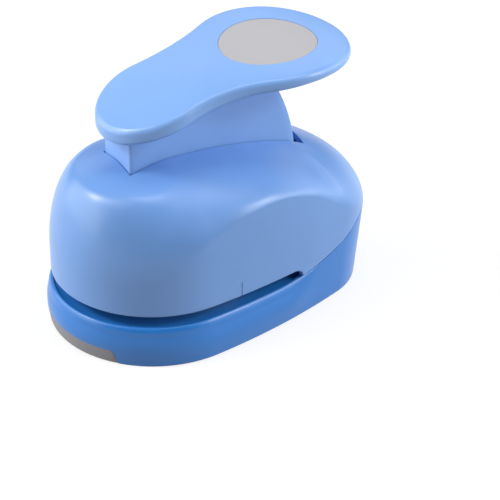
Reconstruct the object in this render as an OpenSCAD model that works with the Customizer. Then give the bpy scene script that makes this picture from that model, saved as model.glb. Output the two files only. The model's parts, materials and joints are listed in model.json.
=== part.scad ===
// Circle craft punch: a hand lever on a domed casing presses a round cutter
// through paper held in the throat between the casing and the base.
// Millimetres, +Z up, front towards -Y. The origin lies on the table under the
// middle of the punch. Heights are measured from the table, and lengths inside
// the modules from the centre of the rounded front end.

/* [Casing] */
// Radius of the casing's rounded front end
casing_front_r = 43.4; // [42:0.1:45]
// Radius of the casing's rounded rear end
casing_rear_r = 32.6; // [31.6:0.1:33.4]
// Distance between the centres of the two ends at the table
end_span = 62; // [60:0.5:68]
// Radius of the long side arcs
side_r = 300; // [260:10:400]
// Lean of the rear end, out for each millimetre up
rear_lean = 0.08; // [0.04:0.01:0.12]
// Wall thickness of the casing
casing_wall = 2.4; // [1.8:0.1:2.8]
// Height of the casing's lip over the throat
lip_z = 23.1; // [23:0.1:25]
// Height of the roof line at the front
roof_front_z = 81.6; // [80:0.1:83]
// Height of the roof line at its rear end
roof_rear_z = 77.6; // [75.6:0.2:79.6]
// Length of the roof line
roof_len = 48; // [45:0.5:52]
// Bend of the roof line: 1 is straight, more keeps it high for longer
roof_bend = 1.3; // [1:0.1:2.2]
// Height where wall and roof would meet at the front tip
front_corner_z = 66.6; // [65:0.2:69]
// Height where wall and roof would meet on the cheek, between front tip and side
cheek_corner_z = 65.6; // [64:0.2:68]
// Height where wall and roof would meet on the flank, where the side begins
flank_corner_z = 65.2; // [63.6:0.2:67]
// Height where wall and roof would meet on the brow, where the crease begins
brow_corner_z = 64.4; // [63:0.2:66]
// Height of the side crease at its peak
crease_z = 64.3; // [63:0.1:66]
// Height where wall and roof would meet at the haunch
haunch_corner_z = 54.8; // [53:0.2:57]
// Height where wall and roof would meet at the tail
tail_corner_z = 48.4; // [48.2:0.2:51]
// Height of the rounded shoulder at the front tip
front_shoulder_h = 32; // [28:0.2:36]
// Depth of the rounded shoulder at the front tip
front_shoulder_d = 12.6; // [10:0.2:16]
// Height of the rounded shoulder on the cheek
cheek_shoulder_h = 26.6; // [23:0.2:30]
// Depth of the rounded shoulder on the cheek
cheek_shoulder_d = 16; // [13:0.2:19]
// Height of the rounded shoulder on the flank
flank_shoulder_h = 13; // [11:0.2:15]
// Depth of the rounded shoulder on the flank
flank_shoulder_d = 18; // [15:0.2:20]
// Height of the rounded shoulder on the brow
brow_shoulder_h = 7.6; // [6:0.2:9]
// Depth of the rounded shoulder on the brow
brow_shoulder_d = 10; // [8:0.2:12]
// Height of the rounding along the crease
crease_shoulder_h = 5.5; // [4:0.1:7]
// Depth of the rounding along the crease
crease_shoulder_d = 6; // [4:0.1:8]
// Height of the rounded shoulder at the haunch
haunch_shoulder_h = 17.4; // [14:0.2:20]
// Depth of the rounded shoulder at the haunch
haunch_shoulder_d = 26; // [22:0.2:29]
// Height of the rounded shoulder at the tail
tail_shoulder_h = 15; // [12:0.2:15]
// Depth of the rounded shoulder at the tail
tail_shoulder_d = 22.4; // [19:0.2:25]
// Place of the cheek on the front end's curve, 0 at the tip and 1 at the side
cheek_at = 0.7; // [0.55:0.01:0.85]
// Place of the brow along the side, 1 at the front and 2 at the rear
brow_at = 1.25; // [1.15:0.01:1.35]
// Place of the crease's peak along the side, 1 at the front and 2 at the rear
crease_at = 1.5; // [1.42:0.01:1.7]
// Length of the alignment ticks on the lip
tick_len = 6; // [4:0.5:8]
// Width of the alignment ticks
tick_w = 0.9; // [0.6:0.1:1.4]
// Depth of the alignment ticks
tick_depth = 0.6; // [0.4:0.1:1]
// Radius of the screw bosses
boss_r = 4.2; // [3.6:0.1:4.4]
// Height of the bosses that stand on the base
boss_h = 23; // [20:0.5:24]
// Height of the bosses that stand on the guide plate
front_boss_h = 16; // [14:0.5:18]
// Distance of the tail screw behind the rear end's centre
tail_screw_back = 20; // [18:0.5:22]

/* [Base] */
// Radius of the base's rounded front end
base_front_r = 44.7; // [44.4:0.1:45.6]
// Radius of the base's rounded rear end at the table
base_rear_r = 31.4; // [30.5:0.1:32.4]
// Wall thickness of the base
base_wall = 2.6; // [2.2:0.1:3.2]
// How far the base's wall swells at mid height
base_belly = 0.9; // [0.2:0.1:1.4]
// Height of the rim round the throat
rim_z = 18; // [17.7:0.1:18.3]
// Height of the sloping band on the rim
rim_band_h = 3.9; // [2.5:0.1:5]
// Depth of the sloping band on the rim
rim_band_d = 1.7; // [1.2:0.1:2.2]
// Height of the base at the tail
tail_rim_z = 33; // [30:0.5:33.4]
// Height of the deck inside the rim
deck_z = 17.4; // [17:0.1:17.6]
// Thickness of the deck
deck_t = 5.4; // [5:0.1:7]
// Length of the throat behind the front centre
throat_len = 50; // [48:0.5:51]
// Wall thickness of the chip chute
chute_wall = 2; // [1.6:0.1:2.4]
// Thickness of the ribs under the deck
rib_t = 1.8; // [1.4:0.1:2.4]
// Height of the grey plate on the front
plate_h = 6.5; // [5:0.1:8]
// Half width of the grey plate at its top
plate_half = 28.4; // [26:0.1:31]
// How much wider each end of the grey plate is at its foot
plate_flare = 1.2; // [0.5:0.1:2]
// Rounding of the grey plate's top corners
plate_corner = 1.6; // [1:0.1:2.5]
// Thickness of the grey plate
plate_t = 1.1; // [0.8:0.1:1.4]
// Width of the flat land behind the rim's band
rim_land = 0.6; // [0.4:0.1:0.8]
// Rounding of the rim beside the casing
rim_edge = 0.3; // [0.2:0.05:0.4]
// Rounding of the wall's foot
foot_edge = 0.6; // [0.4:0.1:0.9]
// How far the inside of the wall closes in towards the deck
cavity_draft = 0.8; // [0.4:0.1:1.2]

/* [Lever] */
// Radius of the lever's front end
lever_front_r = 24; // [22:0.5:26]
// Radius of the lever's paddle
lever_rear_r = 34; // [32:0.5:36]
// Radius of the hollow sides between them
lever_neck_r = 57; // [45:1:80]
// Place of the front end's centre
lever_front_u = 1.6; // [0:0.1:3]
// Place of the paddle's centre
lever_rear_u = 54.7; // [53:0.1:56]
// Height of the lever's top at the pad
lever_top_z = 111.4; // [110:0.2:114]
// Slope of the lever's top at the pad
lever_slope = 0.026; // [0.01:0.002:0.05]
// Radius of the arch of the lever's top
lever_arch_r = 200; // [180:5:280]
// Thickness of the lever's plate at its front end
lever_t = 7.4; // [6.4:0.1:8]
// Thickness of the lever's plate at the paddle
paddle_t = 5.2; // [5:0.1:6.4]
// Rounding of the lever's edge
lever_edge = 2.4; // [1.8:0.1:2.5]
// Radius of the grey thumb pad
pad_r = 20.4; // [18:0.1:22]
// Thickness of the grey thumb pad
pad_t = 1.2; // [0.8:0.1:1.6]
// Half width of the lever's stem
stem_half = 11.1; // [10.5:0.1:11.5]
// Rounding of the stem's front corners
stem_corner = 1.2; // [0.6:0.1:2]
// Fillet between the stem and the lever's plate
stem_fillet = 2.6; // [1.6:0.1:2.8]
// Wall thickness of the stem
stem_wall = 2.5; // [2:0.1:2.8]
// Place of the stem's front face
stem_front_u = -16; // [-17:0.1:-15]
// Radius of the stem's curved rear face about the pivot
stem_sweep_r = 75; // [72:0.5:76]
// Room behind the stem in the casing's slot
slot_back = 4.2; // [3:0.1:5]
// Depth of the thumb pad's face below the lever's top
pad_sink = 0.1; // [0.05:0.05:0.3]

/* [Mechanism] */
// Place of the lever's pivot
pivot_u = -13.6; // [-14.5:0.1:-13]
// Height of the lever's pivot
pivot_z = 60; // [58:0.5:62]
// Radius of the pivot pin
pivot_r = 3; // [2.5:0.1:3.4]
// Wall of the lever's hub round the pivot
hub_wall = 3.5; // [3:0.1:4]
// Full press of the lever, in degrees
press_angle = 13; // [10:0.5:13]
// Place of the die's centre
die_u = 17; // [16.5:0.1:17.5]
// Diameter of the punched circle
cut_d = 50; // [46:0.1:50.6]
// Gap for paper between the die plate and the guide plate
throat_gap = 4.9; // [4.6:0.1:5.2]
// Width of the die plate round the hole
die_rim = 6; // [5:0.1:6.5]
// Half width of the spacer block
block_half = 20; // [18:0.5:20.5]
// Length of the spacer block
block_len = 13; // [12:0.5:14]
// Half distance across between the die screws
block_screw_v = 15; // [13:0.5:15.5]
// Distance of the die screws from the spacer block's ends
block_screw_in = 3.4; // [3:0.1:3.8]
// Radius of the press roller
roller_r = 5; // [4:0.1:5.5]
// Radius of the roller's pin
roller_pin_r = 2; // [1.6:0.1:2.4]
// Thickness of the die plate
die_t = 3; // [2.4:0.1:3.4]
// Thickness of the guide plate
guide_t = 4; // [3.4:0.1:4.6]
// Thickness of the cap over the cutter
cap_t = 4; // [3:0.1:5]
// Wall of the cutter
cutter_wall = 6; // [5:0.1:8]
// Height of the cutter
cutter_h = 21.4; // [19:0.1:22]
// Thickness of the cutter's floor
cutter_floor = 5; // [4:0.1:7]
// Depth of the dish in the cutter's face
dish = 0.8; // [0.4:0.1:1.2]
// Width of the flat cutting edge
edge_land = 1; // [0.6:0.1:1.6]
// Distance of each guide post from the middle
post_v = 32; // [31.6:0.1:32.6]
// Radius of the guide posts
post_r = 2.2; // [1.8:0.1:2.3]
// Width of the collar on the guide posts' heads
post_collar = 1.8; // [1.4:0.1:2]
// Height of the guide posts' heads
post_head_h = 2.4; // [1.8:0.1:3]
// Width of the ears round the guide posts
ear_wall = 3.3; // [2.8:0.1:3.6]
// Radius of the return springs, at the middle of the wire
spring_r = 3.1; // [2.95:0.05:3.2]
// Diameter of the spring wire
wire_d = 0.9; // [0.7:0.05:1]
// Turns of each return spring
spring_turns = 5; // [4:1:6]
// Thickness of the yoke's cheeks and feet
yoke_t = 3; // [2.4:0.1:3.2]
// Half length of the yoke's cheeks
cheek_half = 7; // [6.5:0.1:7.2]
// Thickness of the pivot clips
clip_t = 1; // [0.8:0.1:1.4]
// Width of the pivot clips round the pin
clip_ring = 2; // [1.5:0.1:2.5]
// Radius of the screws' shanks
screw_r = 1.5; // [1.2:0.1:1.7]
// Radius of the screws' heads
screw_head_r = 2.6; // [2.2:0.1:2.7]
// Height of the screws' heads
screw_head_h = 2; // [1.4:0.1:2.4]
// Grip of the screws in what they are driven into
screw_bite = 10; // [8:0.5:11]

/* [Fits] */
// Radial clearance of turning and sliding fits
run_gap = 0.05; // [0.03:0.01:0.09]
// Radial clearance round screws and seated pins
seat_gap = 0.04; // [0.02:0.01:0.1]
// Gap between moving faces that must not touch
free_gap = 0.3; // [0.2:0.05:0.4]
// Gap between the lever's stem and the slot and yoke beside it
stem_gap = 0.45; // [0.35:0.05:0.9]
// Seam between the casing and the base
seam_gap = 0.15; // [0.1:0.05:0.25]

/* [Hidden] */
$fn = 64;

// Overlap of shapes that are joined, and overshoot of cuts
lap = 1;

// Steps round the front end, along each side and round the rear end
front_steps = 18;
side_steps = 16;
rear_steps = 14;

// Stations round the right half: 0 front tip, 1 and 2 the ends of the side arc, 3 rear tip
stations = concat(
    [for (i = [0 : front_steps - 1]) i / front_steps],
    [for (i = [0 : side_steps - 1]) 1 + i / side_steps],
    [for (i = [0 : rear_steps]) 2 + i / rear_steps]);

function clamp(t) = min(max(t, 0), 1);
function smooth(a, b, t) = a + (b - a) * (1 - cos(180 * clamp(t))) / 2;

// A closed ring from its right half, starting at the front tip
function ring(half) = concat(half,
    [for (i = [len(half) - 2 : -1 : 1]) [-half[i][0], half[i][1], half[i][2]]]);

// Plan outline of an egg of four arcs at one station and height, drawn in by inset
function egg(q, front_r, rear_r, z, inset) =
    let (
        span = end_span + rear_lean * z,
        su = ((side_r - front_r) ^ 2 - (side_r - rear_r) ^ 2 + span ^ 2) / (2 * span),
        sv = -sqrt((side_r - front_r) ^ 2 - su ^ 2),
        a1 = atan2(-sv, -su),
        a2 = atan2(-sv, span - su),
        a = q < 1 ? 180 + (a1 - 180) * q : q < 2 ? a1 + (a2 - a1) * (q - 1) : a2 * (3 - q),
        r = (q < 1 ? front_r : q < 2 ? side_r : rear_r) - inset)
    [(q < 1 || q >= 2 ? 0 : sv) + r * sin(a), (q < 1 ? 0 : q < 2 ? su : span) + r * cos(a), z];

// A skin through rings of equal count, closed at both ends straight across
module loft(rings) {
    n = len(rings[0]);
    m = n / 2;
    last = (len(rings) - 1) * n;
    walls = [for (k = [0 : len(rings) - 2], i = [0 : n - 1])
        let (a = k * n + i, b = k * n + (i + 1) % n)
        each [[a, b + n, b], [a, a + n, b + n]]];
    rungs = concat([[0, 1, n - 1]],
        [for (i = [1 : m - 2]) each [[i, i + 1, n - i - 1], [i, n - i - 1, n - i]]],
        [[m - 1, m, m + 1]]);
    top = [for (f = rungs) [last + f[2], last + f[1], last + f[0]]];
    polyhedron([for (r = rings) each r], concat(walls, rungs, top), convexity = 8);
}

// Heights of the joint between casing and base: level round the throat, rising to the tail
seam_rise = [1.5, 2.5];
function seam_z(q) = smooth(rim_z, tail_rim_z, (q - seam_rise[0]) / (seam_rise[1] - seam_rise[0]));

// A casing size that changes from place to place round the punch, as one smooth curve through its values
bend_at = [0, cheek_at, 1, brow_at, crease_at, 2, 3];
function bend_slope(i, v) = i == 0 || i == len(v) - 1 ? 0
    : (v[i + 1] - v[i - 1]) / (bend_at[i + 1] - bend_at[i - 1]);
function along(q, v) =
    let (
        i = max([for (k = [0 : len(v) - 2]) if (q >= bend_at[k]) k]),
        step = bend_at[i + 1] - bend_at[i],
        x = (q - bend_at[i]) / step)
    v[i] * (1 + 2 * x) * (1 - x) ^ 2 + v[i + 1] * (3 - 2 * x) * x ^ 2
        + step * x * (1 - x) * (bend_slope(i, v) * (1 - x) - bend_slope(i + 1, v) * x);
corner_zs = [front_corner_z, cheek_corner_z, flank_corner_z, brow_corner_z, crease_z,
    haunch_corner_z, tail_corner_z];
shoulder_hs = [front_shoulder_h, cheek_shoulder_h, flank_shoulder_h, brow_shoulder_h, crease_shoulder_h,
    haunch_shoulder_h, tail_shoulder_h];
shoulder_ds = [front_shoulder_d, cheek_shoulder_d, flank_shoulder_d, brow_shoulder_d, crease_shoulder_d,
    haunch_shoulder_d, tail_shoulder_d];
least_shoulder = 1;

// One point of the casing's skin: part 0 is the wall, 1 the shoulder and 2 the roof
function casing_point(q, part, x, inset) =
    let (
        foot_z = seam_z(q) + seam_gap,
        corner_z = along(q, corner_zs) - inset,
        h = max(min(along(q, shoulder_hs), along(q, corner_zs) - foot_z) - inset, least_shoulder),
        d = max(along(q, shoulder_ds) - inset, least_shoulder),
        wall_z = foot_z + (corner_z - h - foot_z) * x,
        corner = egg(q, casing_front_r, casing_rear_r, corner_z, inset),
        wall_top = egg(q, casing_front_r, casing_rear_r, corner_z - h, inset),
        s = clamp(q - 1),
        spine = [0, roof_len * s, roof_front_z + (roof_rear_z - roof_front_z) * s ^ roof_bend - inset],
        reach = norm([spine[0] - corner[0], spine[1] - corner[1]]),
        roof_foot = corner + (spine - corner) * min(d / reach, 0.95))
    part == 0 ? egg(q, casing_front_r, casing_rear_r, wall_z, inset)
    : part == 1 ? corner + (wall_top - corner) * (1 - sin(90 * x)) + (roof_foot - corner) * (1 - cos(90 * x))
    : roof_foot + (spine - roof_foot) * x;
function casing_ring(part, x, inset) = ring([for (q = stations) casing_point(q, part, x, inset)]);

shoulder_steps = 9;
inner_steps = 4;
roof_close = 0.8;
casing_skin = concat(
    [casing_ring(2, roof_close, casing_wall)],
    [for (i = [inner_steps : -1 : 0]) casing_ring(1, i / inner_steps, casing_wall)],
    [casing_ring(0, 0, casing_wall), casing_ring(0, 0, 0), casing_ring(0, 0.5, 0)],
    [for (i = [0 : shoulder_steps]) casing_ring(1, i / shoulder_steps, 0)],
    [casing_ring(2, roof_close / 2, 0), casing_ring(2, roof_close, 0)]);

// Middle of the punch from its front and rear tips
rear_tip = max([for (i = [0 : shoulder_steps]) casing_point(3, 1, i / shoulder_steps, 0)[1]]);
middle_u = (rear_tip - base_front_r - base_belly) / 2;
module place() { translate([0, -middle_u, 0]) children(); }

// Base wall: swell, band on the rim and land behind it change towards the tail
band_fade = [1.55, 1.85];
function fade(q) = (q - band_fade[0]) / (band_fade[1] - band_fade[0]);
function band_h(q) = smooth(rim_band_h, rim_edge, fade(q));
function band_d(q) = smooth(rim_band_d, rim_edge, fade(q));
function base_r(z) = base_rear_r + (casing_rear_r - base_rear_r) * clamp(z / tail_rim_z);
function base_egg(q, z, inset) = egg(q, base_front_r, base_r(z), z, inset);
function swell(q, t) = smooth(base_belly, 0, fade(q)) * sin(180 * t ^ 1.4);
function base_wall_ring(t) = ring([for (q = stations)
    base_egg(q, (seam_z(q) - band_h(q)) * t, -swell(q, t))]);
function base_band_ring(x) = ring([for (q = stations)
    base_egg(q, seam_z(q) - band_h(q) * (1 - sin(90 * x)), band_d(q) * (1 - cos(90 * x)))]);
function base_land(q) = smooth(rim_band_d + rim_land, base_wall, fade(q));
base_rings = concat(
    [ring([for (q = stations) base_egg(q, deck_z - deck_t, base_wall + cavity_draft)]),
     ring([for (q = stations) base_egg(q, 0, base_wall)]),
     ring([for (q = stations) base_egg(q, 0, foot_edge)])],
    [for (t = [0.08, 0.35, 0.62, 0.85]) base_wall_ring(t)],
    [for (x = [0 : 0.25 : 1]) base_band_ring(x)],
    [ring([for (q = stations) base_egg(q, seam_z(q), base_land(q))]),
     ring([for (q = stations) base_egg(q, deck_z, base_land(q) + cavity_draft / 4)])]);

// Half width of an egg outline where it crosses a line across the punch
function half_width(u, front_r, rear_r, z) =
    let (
        span = end_span + rear_lean * z,
        su = ((side_r - front_r) ^ 2 - (side_r - rear_r) ^ 2 + span ^ 2) / (2 * span),
        sv = -sqrt((side_r - front_r) ^ 2 - su ^ 2))
    u > span ? sqrt(rear_r ^ 2 - (u - span) ^ 2)
    : u < 0 ? sqrt(front_r ^ 2 - u ^ 2) : sv + sqrt(side_r ^ 2 - (u - su) ^ 2);

// Die set, from the deck upwards
cut_r = cut_d / 2;
guide_z = deck_z + throat_gap;
guide_top = guide_z + guide_t;
cutter_z = guide_z + free_gap;
cap_z = cutter_z + cutter_h;
cap_top = cap_z + cap_t;
press_arm = die_u - pivot_u;
roller_z = pivot_z + press_arm * tan(press_angle / 2);
boss_top = roller_z - roller_r - free_gap;
block_front_u = throat_len + free_gap;
block_rear_u = block_front_u + block_len;
block_screw_us = [block_front_u + block_screw_in, block_rear_u - block_screw_in];
hole_r = screw_r + seat_gap;

// Screws that hold the casing to the base
side_screw = [block_half + free_gap + boss_r, block_screw_us[1]];
tail_screw = [0, end_span + tail_screw_back];
casing_screw_spots = [[side_screw[0], side_screw[1]], [-side_screw[0], side_screw[1]], tail_screw];
boss_z = deck_z;

// Yoke that carries the lever's pivot
cheek_in = stem_half + stem_gap;
cheek_out = cheek_in + yoke_t;
cheek_front_u = pivot_u - cheek_half;
cheek_rear_u = pivot_u + cheek_half;
foot_top = guide_top + yoke_t;
foot_half = cheek_out + 2 * (screw_head_r + lap);
foot_rear_u = die_u - cut_r - 1.5 * lap;
yoke_screw_v = (cheek_out + foot_half) / 2;
yoke_screw_us = [cheek_front_u + screw_head_r, cheek_rear_u - screw_head_r];

// Screws that hold the casing's front to the guide plate, beside the yoke's feet
ear_r = boss_r + lap;
front_screw = [foot_half + free_gap + boss_r, pivot_u];

module rod(r, half, u, z) { translate([-half, u, z]) rotate([0, 90, 0]) cylinder(r = r, h = 2 * half); }
module post(r, v, u, z, h) { translate([v, u, z]) cylinder(r = r, h = h); }
module slab(v1, v2, u1, u2, z1, z2) { translate([v1, u1, z1]) cube([v2 - v1, u2 - u1, z2 - z1]); }
module both_sides() {
    children();
    mirror([1, 0, 0]) children();
}
// Draws a (length, height) outline across the punch
module across(half) { rotate([90, 0, 90]) translate([0, 0, -half]) linear_extrude(2 * half) children(); }
// A pan screw with its head below the seat and its shank going up
module screw_up(v, u, seat, len) {
    post(screw_head_r, v, u, seat - screw_head_h, screw_head_h);
    post(screw_r, v, u, seat - screw_head_h / 2, len + screw_head_h / 2);
}
// The same screw turned over
module screw_down(v, u, seat, len) {
    post(screw_head_r, v, u, seat, screw_head_h);
    post(screw_r, v, u, seat - len, len + screw_head_h / 2);
}

// Base: skirt, rim, deck, chip chute and ribs in one moulding
chute_step = 2;
chute_r = cut_r + chute_step;
under_z = deck_z - deck_t;
rib_lap = base_wall / 2;
rib_foot = 1;
plate_clear = 3;
module base_ribs() {
    chute_mid = chute_r + chute_wall / 2;
    both_sides() slab(chute_mid, half_width(die_u, base_front_r, base_rear_r, 0) - rib_lap,
        die_u - rib_t / 2, die_u + rib_t / 2, rib_foot, under_z + lap);
    slab(-rib_t / 2, rib_t / 2, rib_lap - base_front_r, die_u - chute_mid, rib_foot, under_z + lap);
    rear_rib = block_rear_u + boss_r;
    slab(-rib_t / 2, rib_t / 2, die_u + chute_mid, rear_rib, rib_foot, under_z + lap);
    rear_reach = half_width(rear_rib, base_front_r, base_rear_r, 0) - rib_lap;
    slab(-rear_reach, rear_reach, rear_rib - rib_t / 2, rear_rib + rib_t / 2, rib_foot, under_z + lap);
}
module base_shell() color("#2f6fc0") place() {
    difference() {
        union() {
            loft(base_rings);
            difference() {
                union() {
                    post(chute_r + chute_wall, 0, die_u, 0, under_z + lap);
                    base_ribs();
                }
                post(chute_r, 0, die_u, -lap, under_z + 3 * lap);
            }
        }
        post(chute_r, 0, die_u, -lap, deck_z);
        set_outline(deck_z - die_t, die_t + lap, seat_gap);
        die_screw_spots() post(hole_r, 0, 0, under_z - lap, deck_t + 2 * lap);
        for (s = casing_screw_spots) post(hole_r, s[0], s[1], under_z - lap, deck_t + 2 * lap);
        front_sector(seat_gap, plate_clear);
    }
}

// Grey plate let into the front of the base's wall
plate_low_r = base_front_r - foot_edge;
plate_high_r = base_front_r + base_belly;
module plate_outline(slack) {
    w = plate_half + slack;
    h = plate_h + slack;
    corner = [for (a = [0 : 22.5 : 90]) [w - plate_corner * (1 - cos(a)), h - plate_corner * (1 - sin(a))]];
    polygon(concat([[-w - plate_flare, -lap], [w + plate_flare, -lap]], corner,
        [for (i = [len(corner) - 1 : -1 : 0]) [-corner[i][0], corner[i][1]]]));
}
module front_sector(slack, reach) intersection() {
    rotate_extrude()
        polygon([[plate_low_r - plate_t - slack, -slack], [plate_low_r + reach, -slack],
            [base_front_r + reach, foot_edge], [plate_high_r + reach, plate_h],
            [plate_high_r + reach, plate_h + lap], [plate_high_r - plate_t - slack, plate_h + lap]]);
    rotate([90, 0, 0]) linear_extrude(2 * base_front_r) plate_outline(slack);
}
module front_plate() color("#86868c") place() front_sector(0, 0);

// Casing: domed shell with the lever's slot, the throat and the screw bosses
slot_half = stem_half + stem_gap;
slot_front_u = stem_front_u - stem_gap;
slot_rear_u = pivot_u + stem_sweep_r + slot_back;
gusset_lap = casing_wall / 2;
gusset_z = tail_rim_z + lap;
module casing_bosses() {
    side_wall = half_width(side_screw[1], casing_front_r, casing_rear_r, boss_z);
    both_sides() {
        post(boss_r, side_screw[0], side_screw[1], boss_z, boss_h);
        slab(side_screw[0], side_wall - gusset_lap, side_screw[1] - rib_t / 2, side_screw[1] + rib_t / 2,
            gusset_z, boss_z + boss_h - lap);
        post(boss_r, front_screw[0], front_screw[1], guide_top, front_boss_h);
        translate([front_screw[0], front_screw[1], 0]) rotate([0, 0, atan2(front_screw[1], front_screw[0])])
            slab(0, casing_front_r - norm(front_screw) - gusset_lap, -rib_t / 2, rib_t / 2,
                guide_top + boss_r, guide_top + front_boss_h - lap);
    }
    post(boss_r, tail_screw[0], tail_screw[1], boss_z, boss_h);
    tail_wall = end_span + rear_lean * tail_rim_z + casing_rear_r;
    slab(-rib_t / 2, rib_t / 2, tail_screw[1], tail_wall - gusset_lap, gusset_z, boss_z + boss_h - lap);
}
module upper_casing() color("#7ba8ea") place() difference() {
    union() {
        loft(casing_skin);
        casing_bosses();
    }
    slab(-slot_half, slot_half, slot_front_u, slot_rear_u, pivot_z - 2 * pivot_r, roof_front_z + lap);
    throat_r = (lip_z - rim_z) / 2;
    slab(-2 * side_r, 2 * side_r, -2 * casing_front_r, throat_len - throat_r, rim_z - lap, lip_z);
    rod(throat_r, 2 * side_r, throat_len - throat_r, rim_z + throat_r);
    tick_in = half_width(die_u, casing_front_r, casing_rear_r, lip_z) - tick_depth;
    both_sides() slab(tick_in, 2 * casing_front_r, die_u - tick_w / 2, die_u + tick_w / 2,
        lip_z - lap, lip_z + tick_len);
    for (s = casing_screw_spots) post(hole_r, s[0], s[1], boss_z - lap, screw_bite + 2 * lap);
    both_sides() post(hole_r, front_screw[0], front_screw[1], guide_top - lap, screw_bite + 2 * lap);
}

// Lever: arched racquet plate on a hollow stem
function lever_z(u) = lever_top_z + lever_slope * (u - lever_rear_u)
    - (u - lever_rear_u) ^ 2 / (2 * lever_arch_r);
function plate_z(u) = lever_z(u) - lever_t
    + (lever_t - paddle_t) * clamp((u - lever_front_u) / (lever_rear_u - lever_front_u));
neck_steps = 8;
lever_spots = concat(
    [for (i = [0 : front_steps - 1]) i / front_steps],
    [for (i = [0 : neck_steps - 1]) 1 + i / neck_steps],
    [for (i = [0 : rear_steps]) 2 + i / rear_steps]);
function lever_outline(q, inset) =
    let (
        apart = lever_rear_u - lever_front_u,
        near = lever_front_r + lever_neck_r,
        far = lever_rear_r + lever_neck_r,
        nu = (near ^ 2 - far ^ 2 + apart ^ 2) / (2 * apart),
        nv = sqrt(near ^ 2 - nu ^ 2),
        a1 = atan2(nv, nu),
        a2 = atan2(nv, nu - apart),
        a = q < 1 ? 180 + (a1 - 180) * q : q < 2 ? a1 + 180 + (a2 - a1) * (q - 1) : a2 * (3 - q),
        r = q < 1 ? lever_front_r - inset : q < 2 ? lever_neck_r + inset : lever_rear_r - inset,
        cu = lever_front_u + (q < 1 ? 0 : q < 2 ? nu : apart))
    [(q < 1 || q >= 2 ? 0 : nv) + r * sin(a), cu + r * cos(a)];
function top_ring(inset, drop) = ring([for (q = lever_spots)
    let (p = lever_outline(q, inset)) [p[0], p[1], lever_z(p[1]) - drop]]);
function under_ring(inset, lift) = ring([for (q = lever_spots)
    let (p = lever_outline(q, inset)) [p[0], p[1], plate_z(p[1]) + lift]]);
edge_steps = 4;
lever_rings = concat(
    [for (i = [0 : edge_steps]) under_ring(lever_edge * (1 - sin(90 * i / edge_steps)),
        lever_edge * (1 - cos(90 * i / edge_steps)))],
    [for (i = [0 : edge_steps]) top_ring(lever_edge * (1 - cos(90 * i / edge_steps)),
        lever_edge * (1 - sin(90 * i / edge_steps)))]);
hub_r = pivot_r + run_gap + hub_wall;
stem_low_z = pivot_z - pivot_r;
stem_lap = 2;
stem_cavity_u = pivot_u + hub_r + lap;
arch_step = 6;
// A side outline up to the plate's underside, raised into it by lift
module under_arch(u1, u2, low, lift) {
    n = ceil((u2 - u1) / arch_step);
    polygon(concat([[u2, low], [u1, low]],
        [for (i = [0 : n]) let (u = u1 + (u2 - u1) * i / n) [u, plate_z(u) + lift]]));
}
module stem(half, sweep, front, lift, low) intersection() {
    across(half) under_arch(front, pivot_u + sweep + lap, low, lift);
    rod(sweep, half + lap, pivot_u, pivot_z);
}
// The stem's plan, with its front corners rounded
module stem_plan() {
    rear = pivot_u + stem_sweep_r + lap;
    low = stem_low_z - lap;
    slab(-stem_half, stem_half, stem_front_u + stem_corner, rear, low, lever_top_z);
    slab(stem_corner - stem_half, stem_half - stem_corner, stem_front_u, rear, low, lever_top_z);
    both_sides() post(stem_corner, stem_half - stem_corner, stem_front_u + stem_corner, low, lever_top_z - low);
}
// Fillet rings round the stem, from just inside it out to the plate's underside
collar_rear_u = 44;
collar_fade = 24;
collar_steps = 8;
collar_lap = 0.3;
collar_crown = 0.2;
function collar_half(u, out) = stem_half - collar_lap
    + (out + collar_lap) * clamp((collar_rear_u - u) / collar_fade);
function collar_ring(out, drop) =
    let (
        r = stem_corner + out,
        front = stem_front_u - out,
        side = front + r,
        spots = concat([[0, front - collar_crown]],
            [for (a = [0 : 15 : 75]) [stem_half + out - r + r * sin(a), side - r * cos(a)]],
            [for (i = [0 : collar_steps]) let (u = side + (collar_rear_u - side) * i / collar_steps)
                [collar_half(u, out), u]],
            [[0, collar_rear_u + collar_crown]]))
    ring([for (p = spots) [p[0], p[1], plate_z(p[1]) - drop]]);
collar_rings = concat(
    [collar_ring(-collar_lap, stem_fillet)],
    [for (a = [10 : 20 : 90]) collar_ring(stem_fillet * (1 - cos(a)), stem_fillet * (1 - sin(a)))],
    [collar_ring(stem_fillet, -lap)]);
pad_recess = pad_t + seat_gap;
disc_steps = 6;
// A disc that follows the arch of the lever's top
module arch_disc(r, top, depth) intersection() {
    us = [for (i = [-disc_steps : disc_steps]) lever_rear_u + i * (r + lap) / disc_steps];
    post(r, 0, lever_rear_u, lever_z(lever_rear_u) - r, 2 * r);
    across(r + lap) polygon(concat([for (u = us) [u, lever_z(u) + top]],
        [for (i = [len(us) - 1 : -1 : 0]) [us[i], lever_z(us[i]) - depth]]));
}
module lever() color("#8cbcf8") place() difference() {
    union() {
        loft(lever_rings);
        difference() {
            union() {
                intersection() {
                    stem(stem_half, stem_sweep_r, stem_front_u, stem_lap, stem_low_z);
                    stem_plan();
                }
                loft(collar_rings);
                rod(hub_r, stem_half, pivot_u, pivot_z);
            }
            stem(stem_half - stem_wall, stem_sweep_r - stem_wall, stem_cavity_u, -stem_lap, stem_low_z - lap);
        }
    }
    rod(pivot_r + run_gap, 2 * stem_half, pivot_u, pivot_z);
    rod(roller_pin_r + seat_gap, 2 * stem_half, die_u, roller_z);
    arch_disc(pad_r + seat_gap, lever_t, pad_recess);
}
module thumb_pad() color("#c4c3c8") place() arch_disc(pad_r, -pad_sink, pad_t);

// Press roller and its pin under the stem
module press_roller() color("#b8bcc2") place() difference() {
    rod(roller_r, stem_half - stem_wall - free_gap, die_u, roller_z);
    rod(roller_pin_r + run_gap, stem_half, die_u, roller_z);
}
module roller_pin() color("#d0d3d8") place() rod(roller_pin_r, stem_half - free_gap, die_u, roller_z);

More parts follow.
